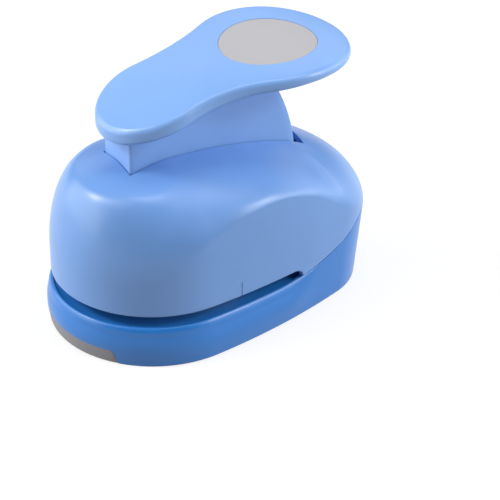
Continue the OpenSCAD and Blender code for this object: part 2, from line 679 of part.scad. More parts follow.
// Pivot: steel yoke on the guide plate, pin and two clips
module pivot_yoke() color("#a8adb5") place() difference() {
    union() {
        both_sides() {
            slab(cheek_in, cheek_out, cheek_front_u, cheek_rear_u, guide_top, pivot_z);
            translate([cheek_in, pivot_u, pivot_z]) rotate([0, 90, 0]) cylinder(r = cheek_half, h = yoke_t);
            slab(cheek_out - lap, foot_half, cheek_front_u, cheek_rear_u, guide_top, foot_top);
        }
        slab(-cheek_in - lap, cheek_in + lap, cheek_front_u, foot_rear_u, guide_top, foot_top);
    }
    rod(pivot_r + seat_gap, foot_half, pivot_u, pivot_z);
    yoke_screw_spots() post(hole_r, 0, 0, guide_top - lap, yoke_t + 2 * lap);
}
module yoke_screw_spots() {
    for (v = [-yoke_screw_v, yoke_screw_v], u = yoke_screw_us) translate([v, u, 0]) children();
}
pin_half = cheek_out + clip_t + lap;
module pivot_pin() color("#d0d3d8") place() rod(pivot_r, pin_half, pivot_u, pivot_z);
module pivot_clips() color("#8f949c") place() both_sides() difference() {
    translate([cheek_out, pivot_u, pivot_z]) rotate([0, 90, 0]) cylinder(r = pivot_r + clip_ring, h = clip_t);
    rod(pivot_r + seat_gap, pin_half, pivot_u, pivot_z);
    slab(0, 2 * pin_half, pivot_u - pivot_r / 2, pivot_u + pivot_r / 2,
        pivot_z - 2 * pivot_r - clip_ring, pivot_z);
}

// Punch: cutter cup with a dished edge, and the cap that the roller presses
module punch_cutter() color("#c2c6cc") place() difference() {
    cup_r = cut_r - cutter_wall;
    translate([0, die_u, cutter_z]) rotate_extrude() polygon([[0, dish], [cut_r - edge_land, 0], [cut_r, 0],
        [cut_r, cutter_h], [cup_r, cutter_h], [cup_r, cutter_floor], [0, cutter_floor]]);
    cap_screw_spots() post(hole_r, 0, 0, cap_z - screw_bite, screw_bite + lap);
}
module cap_screw_spots() {
    for (a = [30, 150, 270]) translate([0, die_u, 0]) rotate([0, 0, a])
        translate([cut_r - cutter_wall / 2, 0, 0]) children();
}
boss_pad_r = stem_half - stem_wall - lap;
cap_ear_r = post_r + ear_wall;
module punch_cap() color("#9aa0a8") place() difference() {
    union() {
        post(cut_r, 0, die_u, cap_z, cap_t);
        both_sides() {
            slab(0, post_v, die_u - cap_ear_r, die_u + cap_ear_r, cap_z, cap_top);
            post(cap_ear_r, post_v, die_u, cap_z, cap_t);
        }
        post(boss_pad_r, 0, die_u, cap_z, boss_top - cap_z);
    }
    both_sides() post(post_r + run_gap, post_v, die_u, cap_z - lap, cap_t + 2 * lap);
    cap_screw_spots() post(hole_r, 0, 0, cap_z - lap, cap_t + 2 * lap);
}
module cap_screws() color("#5d6168") place()
    cap_screw_spots() screw_down(0, 0, cap_top, cap_t + screw_bite - lap);

// Die set: guide plate over die plate, held apart by the spacer behind the throat
module set_outline(z, t, slack) {
    post(cut_r + die_rim + slack, 0, die_u, z, t);
    slab(-block_half - slack, block_half + slack, die_u, block_rear_u + slack, z, z + t);
}
module die_screw_spots() {
    for (v = [-block_screw_v, block_screw_v], u = block_screw_us) translate([v, u, 0]) children();
}
module die_plate() color("#aeb3ba") place() difference() {
    set_outline(deck_z - die_t, die_t, 0);
    post(cut_r + run_gap, 0, die_u, deck_z - die_t - lap, die_t + 2 * lap);
    die_screw_spots() post(hole_r, 0, 0, deck_z - die_t - lap, die_t + 2 * lap);
}
module spacer_block() color("#9aa0a8") place() difference() {
    slab(-block_half, block_half, block_front_u, block_rear_u, deck_z, guide_z);
    die_screw_spots() post(hole_r, 0, 0, deck_z - lap, throat_gap + 2 * lap);
}
module guide_plate() color("#a3a8b0") place() difference() {
    union() {
        set_outline(guide_z, guide_t, 0);
        both_sides() {
            slab(0, post_v, die_u - cap_ear_r, die_u + cap_ear_r, guide_z, guide_top);
            post(cap_ear_r, post_v, die_u, guide_z, guide_t);
            slab(0, foot_half, cheek_front_u - lap, die_u, guide_z, guide_top);
            post(ear_r, front_screw[0], front_screw[1], guide_z, guide_t);
            slab(0, front_screw[0], front_screw[1] - ear_r, front_screw[1] + ear_r, guide_z, guide_top);
        }
    }
    post(cut_r + run_gap, 0, die_u, guide_z - lap, guide_t + 2 * lap);
    both_sides() {
        post(post_r + seat_gap, post_v, die_u, guide_z - lap, guide_t + 2 * lap);
        post(hole_r, front_screw[0], front_screw[1], guide_z - lap, guide_t + 2 * lap);
        post(screw_head_r + seat_gap, front_screw[0], front_screw[1], guide_z - lap, screw_head_h + lap);
    }
    die_screw_spots() post(hole_r, 0, 0, guide_z - lap, guide_t);
    yoke_screw_spots() post(hole_r, 0, 0, guide_z + lap, guide_t);
}
module guide_posts() color("#d0d3d8") place() both_sides() {
    post(post_r, post_v, die_u, guide_z, cap_top + free_gap + lap - guide_z);
    post(post_r + post_collar, post_v, die_u, cap_top + free_gap, post_head_h);
}

// Return springs: one unbroken wire each, wound round a guide post
wire_sides = 6;
wire_rings = 8;
spring_low = guide_top + free_gap / 2;
spring_high = cap_z - free_gap / 2;
coil_low = spring_low + 1.5 * wire_d;
coil_high = spring_high - 1.5 * wire_d;
coil_count = spring_turns * wire_rings;
coil_path = concat([[spring_r, 0, spring_low]],
    [for (i = [0 : coil_count]) let (a = 360 * i / wire_rings)
        [spring_r * cos(a), spring_r * sin(a), coil_low + (coil_high - coil_low) * i / coil_count]],
    [[spring_r, 0, spring_high]]);
function unit(v) = v / norm(v);
function coil_ring(i) =
    let (
        n = len(coil_path) - 1,
        t = unit(coil_path[min(i + 1, n)] - coil_path[max(i - 1, 0)]),
        p = coil_path[i],
        out = unit([p[0], p[1], 0] - t * (t * [p[0], p[1], 0])),
        up = cross(t, out))
    [for (k = [0 : wire_sides - 1]) let (a = 360 * k / wire_sides)
        p + (out * cos(a) + up * sin(a)) * wire_d / 2];
coil_gap = min([for (i = [0 : len(coil_path) - 1], j = [0 : len(coil_path) - 1])
    if (j > i + wire_rings / 2) norm(coil_path[i] - coil_path[j])]) - wire_d;
echo(least_spring_gap = coil_gap);
module coil() { loft([for (i = [0 : len(coil_path) - 1]) coil_ring(i)]); }
module left_return_spring() color("#c9ccd1") place() translate([-post_v, die_u, 0]) coil();
module right_return_spring() color("#c9ccd1") place() translate([post_v, die_u, 0]) coil();

// Screws
module die_screws() color("#5d6168") place()
    die_screw_spots() screw_up(0, 0, under_z, guide_top - 2 * lap - under_z);
module yoke_screws() color("#5d6168") place()
    yoke_screw_spots() screw_down(0, 0, foot_top, yoke_t + guide_t - 1.5 * lap);
module casing_screws() color("#5d6168") place()
    for (s = casing_screw_spots) screw_up(s[0], s[1], under_z, deck_t + screw_bite);
module front_casing_screws() color("#5d6168") place()
    both_sides() screw_up(front_screw[0], front_screw[1], guide_z + screw_head_h,
        guide_t - screw_head_h + screw_bite);

base_shell();
front_plate();
upper_casing();
lever();
thumb_pad();
pivot_yoke();
pivot_pin();
pivot_clips();
press_roller();
roller_pin();
punch_cap();
punch_cutter();
cap_screws();
guide_plate();
spacer_block();
die_plate();
guide_posts();
left_return_spring();
right_return_spring();
die_screws();
yoke_screws();
casing_screws();
front_casing_screws();
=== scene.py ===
import json
import math

import bmesh
import bpy
from mathutils import Matrix, Vector


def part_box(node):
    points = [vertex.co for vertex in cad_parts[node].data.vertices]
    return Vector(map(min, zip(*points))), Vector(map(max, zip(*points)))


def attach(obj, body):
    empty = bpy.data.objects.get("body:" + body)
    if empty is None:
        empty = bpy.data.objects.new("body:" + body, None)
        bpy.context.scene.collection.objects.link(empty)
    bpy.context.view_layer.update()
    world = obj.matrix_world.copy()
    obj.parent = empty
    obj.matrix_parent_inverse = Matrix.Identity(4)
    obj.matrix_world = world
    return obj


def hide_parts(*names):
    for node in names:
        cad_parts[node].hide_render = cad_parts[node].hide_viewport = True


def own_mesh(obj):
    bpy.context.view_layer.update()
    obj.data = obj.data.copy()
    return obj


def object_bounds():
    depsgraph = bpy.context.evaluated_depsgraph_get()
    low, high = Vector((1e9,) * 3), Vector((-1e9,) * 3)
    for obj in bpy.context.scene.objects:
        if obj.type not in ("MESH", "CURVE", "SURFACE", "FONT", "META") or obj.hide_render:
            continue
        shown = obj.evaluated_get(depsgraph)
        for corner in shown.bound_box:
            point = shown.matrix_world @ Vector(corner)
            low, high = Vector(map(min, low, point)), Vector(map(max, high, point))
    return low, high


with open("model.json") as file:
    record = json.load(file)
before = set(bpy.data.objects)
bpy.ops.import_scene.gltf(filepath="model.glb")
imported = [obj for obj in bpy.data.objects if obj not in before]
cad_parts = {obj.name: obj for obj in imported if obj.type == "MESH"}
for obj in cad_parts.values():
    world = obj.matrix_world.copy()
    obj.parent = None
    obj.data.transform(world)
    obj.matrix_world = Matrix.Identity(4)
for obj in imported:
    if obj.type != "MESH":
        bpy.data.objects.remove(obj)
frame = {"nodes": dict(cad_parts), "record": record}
CAD_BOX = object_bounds()

bl_info = {
    "name": "Circle Craft Punch",
    "version": (1, 0, 0),
    "blender": (4, 5, 0),
    "location": "View3D > Sidebar > Punch",
    "description": "Moulded casing, base, lever and finishes of a hand lever circle punch",
    "category": "Object",
}

# Sizes in millimetres, as the solids have them, but for the finer run of the casing's shoulder
MM = 0.001
MIDDLE_U = 25.836
END_SPAN, SIDE_R, REAR_LEAN = 62.0, 300.0, 0.08
TAIL_U, TOP_Z = CAD_BOX[1][1] / MM + MIDDLE_U, CAD_BOX[1][2] / MM
SEAT_GAP, RUN_GAP, SEAM_GAP, STEM_GAP = 0.04, 0.05, 0.15, 0.45

# Casing sizes, with the runs of its shoulder given at the bend spots
CASING_FRONT_R, CASING_REAR_R, CASING_WALL = 43.4, 32.6, 2.4
CASING = (CASING_FRONT_R, CASING_REAR_R)
LIP_Z, RIM_Z, TAIL_RIM_Z = 23.1, 18.0, 33.0
THROAT_LEN, THROAT_ROUND = 50.0, 5.0
SEAM_RISE = (1.5, 2.5)
BEND_SPOTS = (0.0, 0.7, 1.0, 1.25, 1.5, 1.75, 2.0, 2.5, 3.0)
CORNER_ZS = (66.6, 65.6, 65.8, 66.2, 65.1, 60.8, 54.8, 50.3, 48.4)
SHOULDER_HS = (32.0, 26.6, 14.0, 6.4, 4.2, 6.6, 12.0, 17.0, 15.0)
SHOULDER_DS = (12.6, 16.0, 23.0, 18.0, 11.0, 14.0, 22.0, 25.6, 22.4)
ROOF_FRONT_Z, ROOF_REAR_Z, ROOF_LEN, ROOF_BEND = 81.6, 77.6, 48.0, 1.3
LEAST_RUN, MOST_REACH = 1.0, 0.95
DIE_U, CUT_R = 17.0, 25.0
TICK_LEN, TICK_W, TICK_END = 6.0, 0.9, 0.01
BOSS_R, BOSS_H, FRONT_BOSS_H, GUSSET_LAP = 4.2, 23.0, 16.0, 1.2
GUIDE_TOP_Z, HOLE_R, HOLE_DEPTH = 26.3, 1.54, 11.0
CASING_SCREWS = [(24.5, 59.9), (-24.5, 59.9), (0.0, 82.0)]
FRONT_SCREWS = [(26.25, -13.6), (-26.25, -13.6)]

# Base sizes
BASE_FRONT_R, BASE_REAR_R, BASE_WALL, BASE_BELLY = 44.7, 31.4, 2.6, 0.9
BASE = (BASE_FRONT_R, BASE_REAR_R)
BELLY_SKEW, BAND_FADE = 1.4, (1.55, 1.85)
RIM_BAND_H, RIM_BAND_D, RIM_EDGE, RIM_LAND, LAND_EDGE = 3.9, 1.7, 0.3, 0.6, 0.2
FOOT_EDGE, FOOT_H, FOOT_INNER, FOOT_SHARE, CAVITY_DRAFT = 0.6, 0.8, 0.25, 0.06, 0.8
DECK_Z, DECK_T = 17.4, 5.4
UNDER_Z = DECK_Z - DECK_T
CHUTE_R, CHUTE_WALL, RIB_T, RIB_LOW_Z = 27.0, 2.0, 1.8, 1
DIE_RIM, DIE_T = 6.0, 3.0
BLOCK_HALF, BLOCK_REAR_U, RIB_BEHIND = 20.0, 63.3, 4.2
DIE_SCREWS = [(v, u) for v in (-15.0, 15.0) for u in (53.7, 59.9)]
PLATE_H, PLATE_HALF, PLATE_FLARE, PLATE_CORNER, PLATE_T = 6.5, 28.4, 1.2, 1.6, 1.1
PLATE_CLEAR = 3.0

# Lever sizes
LEVER_FRONT_R, LEVER_REAR_R, LEVER_NECK_R = 24.0, 34.0, 57.0
LEVER_FRONT_U, LEVER_REAR_U = 1.6, 54.7
LEVER_TOP_Z, LEVER_SLOPE, LEVER_ARCH_R = 111.4, 0.026, 200.0
LEVER_T, PADDLE_T, LEVER_EDGE = 7.4, 5.2, 2.4
PAD_R, PAD_T, PAD_SINK, PAD_CLEAR = 20.4, 1.2, 0.1, 2.0
STEM_HALF, STEM_CORNER, STEM_FILLET, STEM_WALL = 11.1, 1.2, 2.6, 2.5
REAR_EDGE, REAR_EDGE_MID = 0.5, 0.15
STEM_FRONT_U, STEM_SWEEP_R, STEM_LOW_Z = -16.0, 75.0, 57.0
HOLLOW_CORNER, HOLLOW_DROP = 0.3, 2.0
COLLAR_REAR_U, COLLAR_FADE = 44.0, 24.0
PIVOT_U, PIVOT_Z, PIVOT_R, HUB_R = -13.6, 60.0, 3.0, 6.55
ROLLER_Z, ROLLER_PIN_R = 63.4864, 2.0
SLOT_BACK = 4.2
SLOT_HALF = STEM_HALF + STEM_GAP
SLOT_FRONT_U = STEM_FRONT_U - STEM_GAP
SLOT_REAR_U = PIVOT_U + STEM_SWEEP_R + SLOT_BACK

# Spring and screw sizes
SCREW_R, SCREW_HEAD_R, SCREW_HEAD_H, SCREW_CROWN, SCREW_POINT = 1.5, 2.6, 2.0, 0.8, 0.5
RECESS_REACH, RECESS_CLEAR = 1.45, 0.5
POST_V, SPRING_R, WIRE_D, SPRING_TURNS = 32.0, 3.1, 0.9, 5
CLOSED_PITCH = WIRE_D * 1.04
SPRING_LOW_Z, SPRING_HIGH_Z, PUNCH_TRAVEL = 26.45, 43.85, 7.0

# How far round the slot its cuts go, how far inside it faces are dropped, and what counts as roof
SLOT_REACH, SLOT_INSIDE, ROOF_LOW_Z = 8.0, -0.001, 50

# Fineness of the meshes: stations along the three arcs, turns in degrees, rows and sides
CASING_STEPS, BASE_STEPS, LEVER_STEPS = (44, 72, 44), (48, 84, 40), (48, 32, 56)
THROAT_TURNS, INNER_ROOF_ROWS, INNER_BEND_ROWS = (0, 20, 40, 58, 75, 90), (1, 0.7, 0.4, 0.15), 12
WALL_ROWS, BEND_ROWS, ROOF_ROWS, SKIRT_ROWS, STEM_ROWS = 6, 28, 10, 18, 12
PLATE_ROWS, DISC_ROWS, DISC_SPOTS, WIRE_SIDES, SCREW_STEPS = 24, 10, 96, 14, 40
ROUND, FINE_ROUND, BORE_ROUND, SMALL_ROUND = 64, 128, 60, 32
SHARP_ANGLE = math.radians(32)

# Distances in metres at which points count as one
SAME_POINT, SPECK, GRIND_SPECK, SLOT_WELD = 2e-7, 1e-7, 1e-8, 6e-5


def at(v, u, z):
    """A point across, along and up the punch in millimetres, in the frame's metres."""
    return Vector((v * MM, (u - MIDDLE_U) * MM, z * MM))


def clamp(t):
    return min(max(t, 0.0), 1.0)


def smooth(a, b, t):
    """An eased change from a to b as t goes from 0 to 1."""
    return a + (b - a) * (1 - math.cos(math.pi * clamp(t))) / 2


def quarter(steps):
    """Angles from 0 to a quarter turn."""
    return [math.pi / 2 / steps * i for i in range(steps + 1)]


def rise(angle):
    """How far a unit arc has risen after an angle, from 0 to 1."""
    return 1 - math.cos(angle)


def fall(angle):
    """How far a unit arc still has to fall after an angle, from 1 to 0."""
    return 1 - math.sin(angle)


def stations(front, side, rear):
    """Stations along an outline's front, side and rear arc, from 0 to 3."""
    return ([i / front for i in range(front)] + [1 + i / side for i in range(side)]
            + [2 + i / rear for i in range(rear + 1)])


def egg_arcs(front_r, rear_r, z):
    """Side arc centre and the two angles where the arcs of the plan outline meet, at height z."""
    span = END_SPAN + REAR_LEAN * z
    su = ((SIDE_R - front_r) ** 2 - (SIDE_R - rear_r) ** 2 + span ** 2) / (2 * span)
    sv = -math.sqrt((SIDE_R - front_r) ** 2 - su ** 2)
    return span, su, sv, math.atan2(-sv, -su), math.atan2(-sv, span - su)


def egg(q, front_r, rear_r, z, inset):
    """Plan outline of four arcs at station q, from 0 at the front tip to 3 at the tail."""
    span, su, sv, a1, a2 = egg_arcs(front_r, rear_r, z)
    if q < 1:
        a, r, cv, cu = math.pi + (a1 - math.pi) * q, front_r, 0.0, 0.0
    elif q < 2:
        a, r, cv, cu = a1 + (a2 - a1) * (q - 1), SIDE_R, sv, su
    else:
        a, r, cv, cu = a2 * (3 - q), rear_r, 0.0, span
    r -= inset
    return (cv + r * math.sin(a), cu + r * math.cos(a), z)


def station_at(u, front_r, rear_r, z):
    """Station of the side arc at a distance u along the punch."""
    _, su, _, a1, a2 = egg_arcs(front_r, rear_r, z)
    return 1 + (math.acos((u - su) / SIDE_R) - a1) / (a2 - a1)


def half_width(u, front_r, rear_r, z):
    """Half width of the plan outline's side arc at a distance u along the punch."""
    span, su, sv = egg_arcs(front_r, rear_r, z)[:3]
    if u > span:
        return math.sqrt(rear_r ** 2 - (u - span) ** 2)
    return sv + math.sqrt(SIDE_R ** 2 - (u - su) ** 2)


def seam_z(q):
    """Height of the joint between casing and base."""
    return smooth(RIM_Z, TAIL_RIM_Z, (q - SEAM_RISE[0]) / (SEAM_RISE[1] - SEAM_RISE[0]))


def along(q, sizes):
    """A casing size that runs smoothly through its values at the bend spots."""
    last = len(sizes) - 1
    i = max(k for k in range(last) if q >= BEND_SPOTS[k])

    def slope(k):
        if k in (0, last):
            return 0.0
        return (sizes[k + 1] - sizes[k - 1]) / (BEND_SPOTS[k + 1] - BEND_SPOTS[k - 1])

    step = BEND_SPOTS[i + 1] - BEND_SPOTS[i]
    x = (q - BEND_SPOTS[i]) / step
    return (sizes[i] * (1 + 2 * x) * (1 - x) ** 2 + sizes[i + 1] * (3 - 2 * x) * x * x
            + step * x * (1 - x) * (slope(i) * (1 - x) - slope(i + 1) * x))


def whole_ring(half):
    """A closed ring from its right half, which starts at the front tip and ends at the tail."""
    return half + [(-p[0], p[1], p[2]) for p in half[-2:0:-1]]


def middle_of(ring):
    """A ring drawn flat onto the middle plane."""
    return [(0.0, p[1], p[2]) for p in ring]


def closed(rings):
    """A row of rings with both ends drawn flat, which closes the loft through them."""
    return [middle_of(rings[0])] + rings + [middle_of(rings[-1])]


def solid(bm):
    """Closes doubled points and turns the faces outwards."""
    bmesh.ops.remove_doubles(bm, verts=bm.verts, dist=SAME_POINT)
    bmesh.ops.dissolve_degenerate(bm, edges=bm.edges, dist=SPECK)
    bmesh.ops.recalc_face_normals(bm, faces=bm.faces)


def loft(rings):
    """Extrudes one ring through a row of others, whose first and last lie flat or in a point."""
    bm = bmesh.new()
    count = len(rings[0])
    ring = bmesh.ops.create_circle(bm, cap_ends=False, radius=MM, segments=count)["verts"]
    for vert, point in zip(ring, rings[0]):
        vert.co = at(*point)
    for points in rings[1:]:
        edges = [bm.edges.get((ring[i - 1], ring[i])) for i in range(count)]
        made = bmesh.ops.extrude_edge_only(bm, edges=edges)["geom"]
        fresh = {g for g in made if isinstance(g, bmesh.types.BMVert)}
        ring = [next(e.other_vert(v) for e in v.link_edges if e.other_vert(v) in fresh)
                for v in ring]
        for vert, point in zip(ring, points):
            vert.co = at(*point)
    solid(bm)
    return bm


def as_object(bm, name):
    """An object at the origin from a finished bmesh."""
    mesh = bpy.data.meshes.new(name)
    bm.to_mesh(mesh)
    bm.free()
    obj = bpy.data.objects.new(name, mesh)
    bpy.context.scene.collection.objects.link(obj)
    return obj


def rod(radius, start, end, segments=ROUND):
    """A round bar between two points."""
    bm = bmesh.new()
    a, b = at(*start), at(*end)
    turn = (b - a).to_track_quat("Z", "Y").to_matrix().to_4x4()
    bmesh.ops.create_cone(bm, cap_ends=True, segments=segments,
                          radius1=radius * MM, radius2=radius * MM, depth=(b - a).length,
                          matrix=Matrix.Translation((a + b) / 2) @ turn)
    return bm


def post(radius, v, u, low, high, segments=ROUND):
    """An upright round bar."""
    return rod(radius, (v, u, low), (v, u, high), segments)


def slab(low, high):
    """A straight block between two corners."""
    bm = bmesh.new()
    a, b = at(*low), at(*high)
    size = Matrix.Diagonal((b - a).to_4d())
    size[3][3] = 1.0
    bmesh.ops.create_cube(bm, size=1.0, matrix=Matrix.Translation((a + b) / 2) @ size)
    return bm


def combine(obj, bm, operation):
    """Joins a shape to a piece or cuts it away."""
    tool = as_object(bm, "tool")
    step = obj.modifiers.new("combine", "BOOLEAN")
    step.object, step.operation, step.solver = tool, operation, "EXACT"
    graph = bpy.context.evaluated_depsgraph_get()
    mesh = bpy.data.meshes.new_from_object(obj.evaluated_get(graph))
    old, mesh.name = obj.data, obj.name
    obj.modifiers.clear()
    obj.data = mesh
    bpy.data.meshes.remove(old)
    tool_mesh = tool.data
    bpy.data.objects.remove(tool)
    bpy.data.meshes.remove(tool_mesh)
    if not mesh.polygons:
        raise RuntimeError(f"{obj.name}: nothing is left after a cut")


def join(obj, bm):
    combine(obj, bm, "UNION")


def cut(obj, bm):
    combine(obj, bm, "DIFFERENCE")


def dress(obj, material, body, slot, *nodes):
    """Smooth faces with crisp edges, the finish, and the place in the frame."""
    bm = bmesh.new()
    bm.from_mesh(obj.data)
    bmesh.ops.remove_doubles(bm, verts=bm.verts, dist=SAME_POINT)
    for face in bm.faces:
        face.smooth = True
        face.material_index = 0
    for edge in bm.edges:
        edge.smooth = edge.calc_face_angle(0.0) < SHARP_ANGLE
    bm.to_mesh(obj.data)
    bm.free()
    obj.data.materials.clear()
    obj.data.materials.append(material)
    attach(obj, body)
    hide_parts(*nodes)


# Finishes

class Wire:
    """A node's output that takes part in Python expressions."""

    def __init__(self, finish, socket):
        self.finish, self.socket = finish, socket

    def _math(self, operation, other):
        return self.finish.node("ShaderNodeMath", {0: self, 1: other}, operation=operation)

    def __add__(self, other):
        return self._math("ADD", other)

    def __sub__(self, other):
        return self._math("SUBTRACT", other)

    def __mul__(self, other):
        return self._math("MULTIPLY", other)


class Finish:
    """A material and its nodes."""

    def __init__(self, name):
        self.material = bpy.data.materials.new(name)
        self.material.use_nodes = True
        self.tree = self.material.node_tree
        self.tree.nodes.clear()

    def node(self, kind, inputs=None, out=0, **settings):
        """Makes a node, sets it up, feeds its sockets and gives one of its outputs."""
        made = self.tree.nodes.new(kind)
        for key, value in settings.items():
            setattr(made, key, value)
        for key, value in (inputs or {}).items():
            if isinstance(value, Wire):
                self.tree.links.new(value.socket, made.inputs[key])
            else:
                made.inputs[key].default_value = value
        return Wire(self, made.outputs[out])

    def coords(self, scale=(1, 1, 1)):
        """Object coordinates, stretched."""
        spot = self.node("ShaderNodeTexCoord", out="Object")
        return self.node("ShaderNodeMapping", {"Vector": spot, "Scale": [1 / s for s in scale]},
                         vector_type="TEXTURE")

    def noise(self, where, scale, detail):
        return self.node("ShaderNodeTexNoise",
                         {"Vector": where, "Scale": scale, "Detail": detail},
                         noise_dimensions="3D")

    def spread(self, value, low, high, to_low=0.0, to_high=1.0):
        """A value stretched from one range to another."""
        return self.node("ShaderNodeMapRange", {"Value": value, "From Min": low, "From Max": high,
                                                "To Min": to_low, "To Max": to_high}, clamp=True)

    def blend(self, amount, first, second):
        """A mix of two colours."""
        return self.node("ShaderNodeMix", {0: amount, 6: first, 7: second}, 2,
                         data_type="RGBA", blend_type="MIX")

    def bump(self, strength, depth, height):
        return self.node("ShaderNodeBump",
                         {"Strength": strength, "Distance": depth, "Height": height})

    def done(self, **inputs):
        """Feeds the surface and gives the finished material."""
        named = {key.replace("_", " "): value for key, value in inputs.items()}
        self.surface(self.node("ShaderNodeBsdfPrincipled", named))
        return self.material

    def surface(self, shader):
        end = self.tree.nodes.new("ShaderNodeOutputMaterial")
        self.tree.links.new(shader.socket, end.inputs["Surface"])


# The range that most of a noise lies in, and the gloss of the grey plates
MOST = (0.3, 0.7)
STRIP_ROUGH, DISC_ROUGH = 0.5, 0.45


def shade_of(colour, factor):
    """A colour made lighter or darker."""
    return tuple(min(c * factor, 1.0) for c in colour[:3]) + (1.0,)


def moulded_plastic(name, colour, rough, grain):
    """Satin moulded plastic: spark-eroded grain, faint flow clouds and paler rubbed spots."""
    f = Finish(name)
    spot = f.coords()
    fine = f.noise(spot, scale=2600.0, detail=2.0)
    coarse = f.noise(spot, scale=900.0, detail=2.0)
    clouds = f.noise(spot, scale=34.0, detail=3.0)
    flow = f.noise(f.coords((1.0, 0.35, 1.0)), scale=60.0, detail=4.0)
    rubbed = f.spread(f.noise(spot, scale=140.0, detail=3.0), 0.62, 0.9)
    tone = f.blend(f.spread(clouds, *MOST), shade_of(colour, 0.965), shade_of(colour, 1.03))
    tone = f.blend(rubbed * 0.08, tone, shade_of(colour, 1.25))
    gloss = f.spread(flow, *MOST, rough - 0.02, rough + 0.03) - rubbed * 0.01
    bump = f.bump(grain, 0.00006, fine * 0.6 + coarse * 0.4)
    return f.done(Base_Color=tone, Roughness=gloss, Normal=bump, IOR=1.58)


def matt_plastic(name, colour, rough):
    """Matt grey plate with a fine even grain."""
    f = Finish(name)
    spot = f.coords()
    grain = f.noise(spot, scale=3200.0, detail=2.0)
    clouds = f.noise(spot, scale=48.0, detail=3.0)
    tone = f.blend(f.spread(clouds, *MOST), shade_of(colour, 0.97), shade_of(colour, 1.03))
    tone = f.blend(f.spread(grain, 0.35, 0.65), tone, shade_of(colour, 0.95))
    gloss = f.spread(clouds, *MOST, rough - 0.04, rough + 0.04)
    bump = f.bump(0.25, 0.00005, grain)
    return f.done(Base_Color=tone, Roughness=gloss, Normal=bump, IOR=1.47)


def brushed_steel(name, colour, rough, stretch):
    """Steel with drawn or ground lines along the long side of stretch."""
    f = Finish(name)
    lines = f.noise(f.coords(stretch), scale=900.0, detail=3.0)
    spots = f.noise(f.coords(), scale=120.0, detail=4.0)
    tone = f.blend(f.spread(lines, *MOST), shade_of(colour, 0.9), shade_of(colour, 1.06))
    tone = f.blend(f.spread(spots, 0.6, 0.75) * 0.25, tone, shade_of(colour, 0.72))
    gloss = f.spread(lines, *MOST, rough - 0.06, rough + 0.08)
    bump = f.bump(0.2, 0.00003, lines)
    return f.done(Base_Color=tone, Roughness=gloss, Normal=bump, Metallic=1.0)


# Casing

def casing_stations():
    """Stations round the casing, closer at the tick and at the end of the throat."""
    edge = TICK_W / 2
    near = [DIE_U + d for d in (-edge, -edge / 3, edge / 3, edge)]
    near += [THROAT_LEN - THROAT_ROUND * fall(math.radians(a)) for a in THROAT_TURNS]
    spots = stations(*CASING_STEPS) + [station_at(u, *CASING, LIP_Z) for u in near]
    return sorted(set(spots))


def casing_foot(q):
    """Height of the casing's lower edge: the lip, the rounded end of the throat and the joint."""
    u = egg(q, *CASING, LIP_Z, 0)[1]
    joint_z = seam_z(q) + SEAM_GAP
    past = (u - THROAT_LEN) / THROAT_ROUND + 1
    if past <= 0:
        return LIP_Z
    if past < 1:
        return joint_z + (LIP_Z - joint_z) * math.sqrt(max(1 - past ** 2, 0.0))
    return joint_z


def casing_point(q, part, x, inset, foot):
    """A point of the casing's skin: part 0 is the wall, 1 the shoulder and 2 the roof."""
    corner_z = along(q, CORNER_ZS) - inset
    room = along(q, CORNER_ZS) - seam_z(q) - SEAM_GAP
    h = max(min(along(q, SHOULDER_HS), room) - inset, LEAST_RUN)
    d = max(along(q, SHOULDER_DS) - inset, LEAST_RUN)
    if part == 0:
        foot = min(foot, corner_z - h)
        return egg(q, *CASING, foot + (corner_z - h - foot) * x, inset)
    corner = Vector(egg(q, *CASING, corner_z, inset))
    s = clamp(q - 1)
    spine_z = ROOF_FRONT_Z + (ROOF_REAR_Z - ROOF_FRONT_Z) * s ** ROOF_BEND - inset
    spine = Vector((0, ROOF_LEN * s, spine_z))
    reach = (spine - corner).to_2d().length
    roof_foot = corner + (spine - corner) * min(d / reach, MOST_REACH)
    if part == 1:
        wall_top = Vector(egg(q, *CASING, corner_z - h, inset))
        turn = math.pi / 2 * x
        spot = corner + (wall_top - corner) * fall(turn) + (roof_foot - corner) * rise(turn)
        return spot.x, min(spot.y, TAIL_U), spot.z
    return tuple(roof_foot + (spine - roof_foot) * x)


def casing_rings(lip_round, tick_depth):
    """Rings from the inside of the roof down to the lip, round it and up the outside."""
    spots = casing_stations()
    edge = TICK_W / 3
    q_tick = station_at(DIE_U, *CASING, LIP_Z)
    wall_h = along(q_tick, CORNER_ZS) - along(q_tick, SHOULDER_HS) - LIP_Z
    tick_x = TICK_LEN / wall_h

    def ring(part, x, inset, lift=0.0, tick=False):
        half = []
        for q in spots:
            u = egg(q, *CASING, LIP_Z, 0)[1]
            depth = tick_depth if tick and 1 < q < 2 and abs(u - DIE_U) < edge else 0.0
            half.append(casing_point(q, part, x, inset + depth, casing_foot(q) + lift))
        return whole_ring(half)

    rings = [ring(2, x, CASING_WALL) for x in INNER_ROOF_ROWS]
    rings += [ring(1, 1 - i / INNER_BEND_ROWS, CASING_WALL) for i in range(INNER_BEND_ROWS + 1)]
    rings += [ring(0, x, CASING_WALL) for x in (0.5, 0)]
    rings += [ring(0, 0, lip_round * fall(a), lip_round * rise(a), True) for a in quarter(4)]
    rings += [ring(0, tick_x * k / 3, 0, lip_round, True) for k in (1, 2, 3)]
    rows = [tick_x + TICK_END] + [tick_x + (1 - tick_x) * k / WALL_ROWS
                                  for k in range(1, WALL_ROWS)]
    rings += [ring(0, x, 0, lip_round) for x in rows]
    rings += [ring(1, i / BEND_ROWS, 0) for i in range(BEND_ROWS + 1)]
    rings += [ring(2, i / ROOF_ROWS, 0) for i in range(1, ROOF_ROWS + 1)]
    return rings


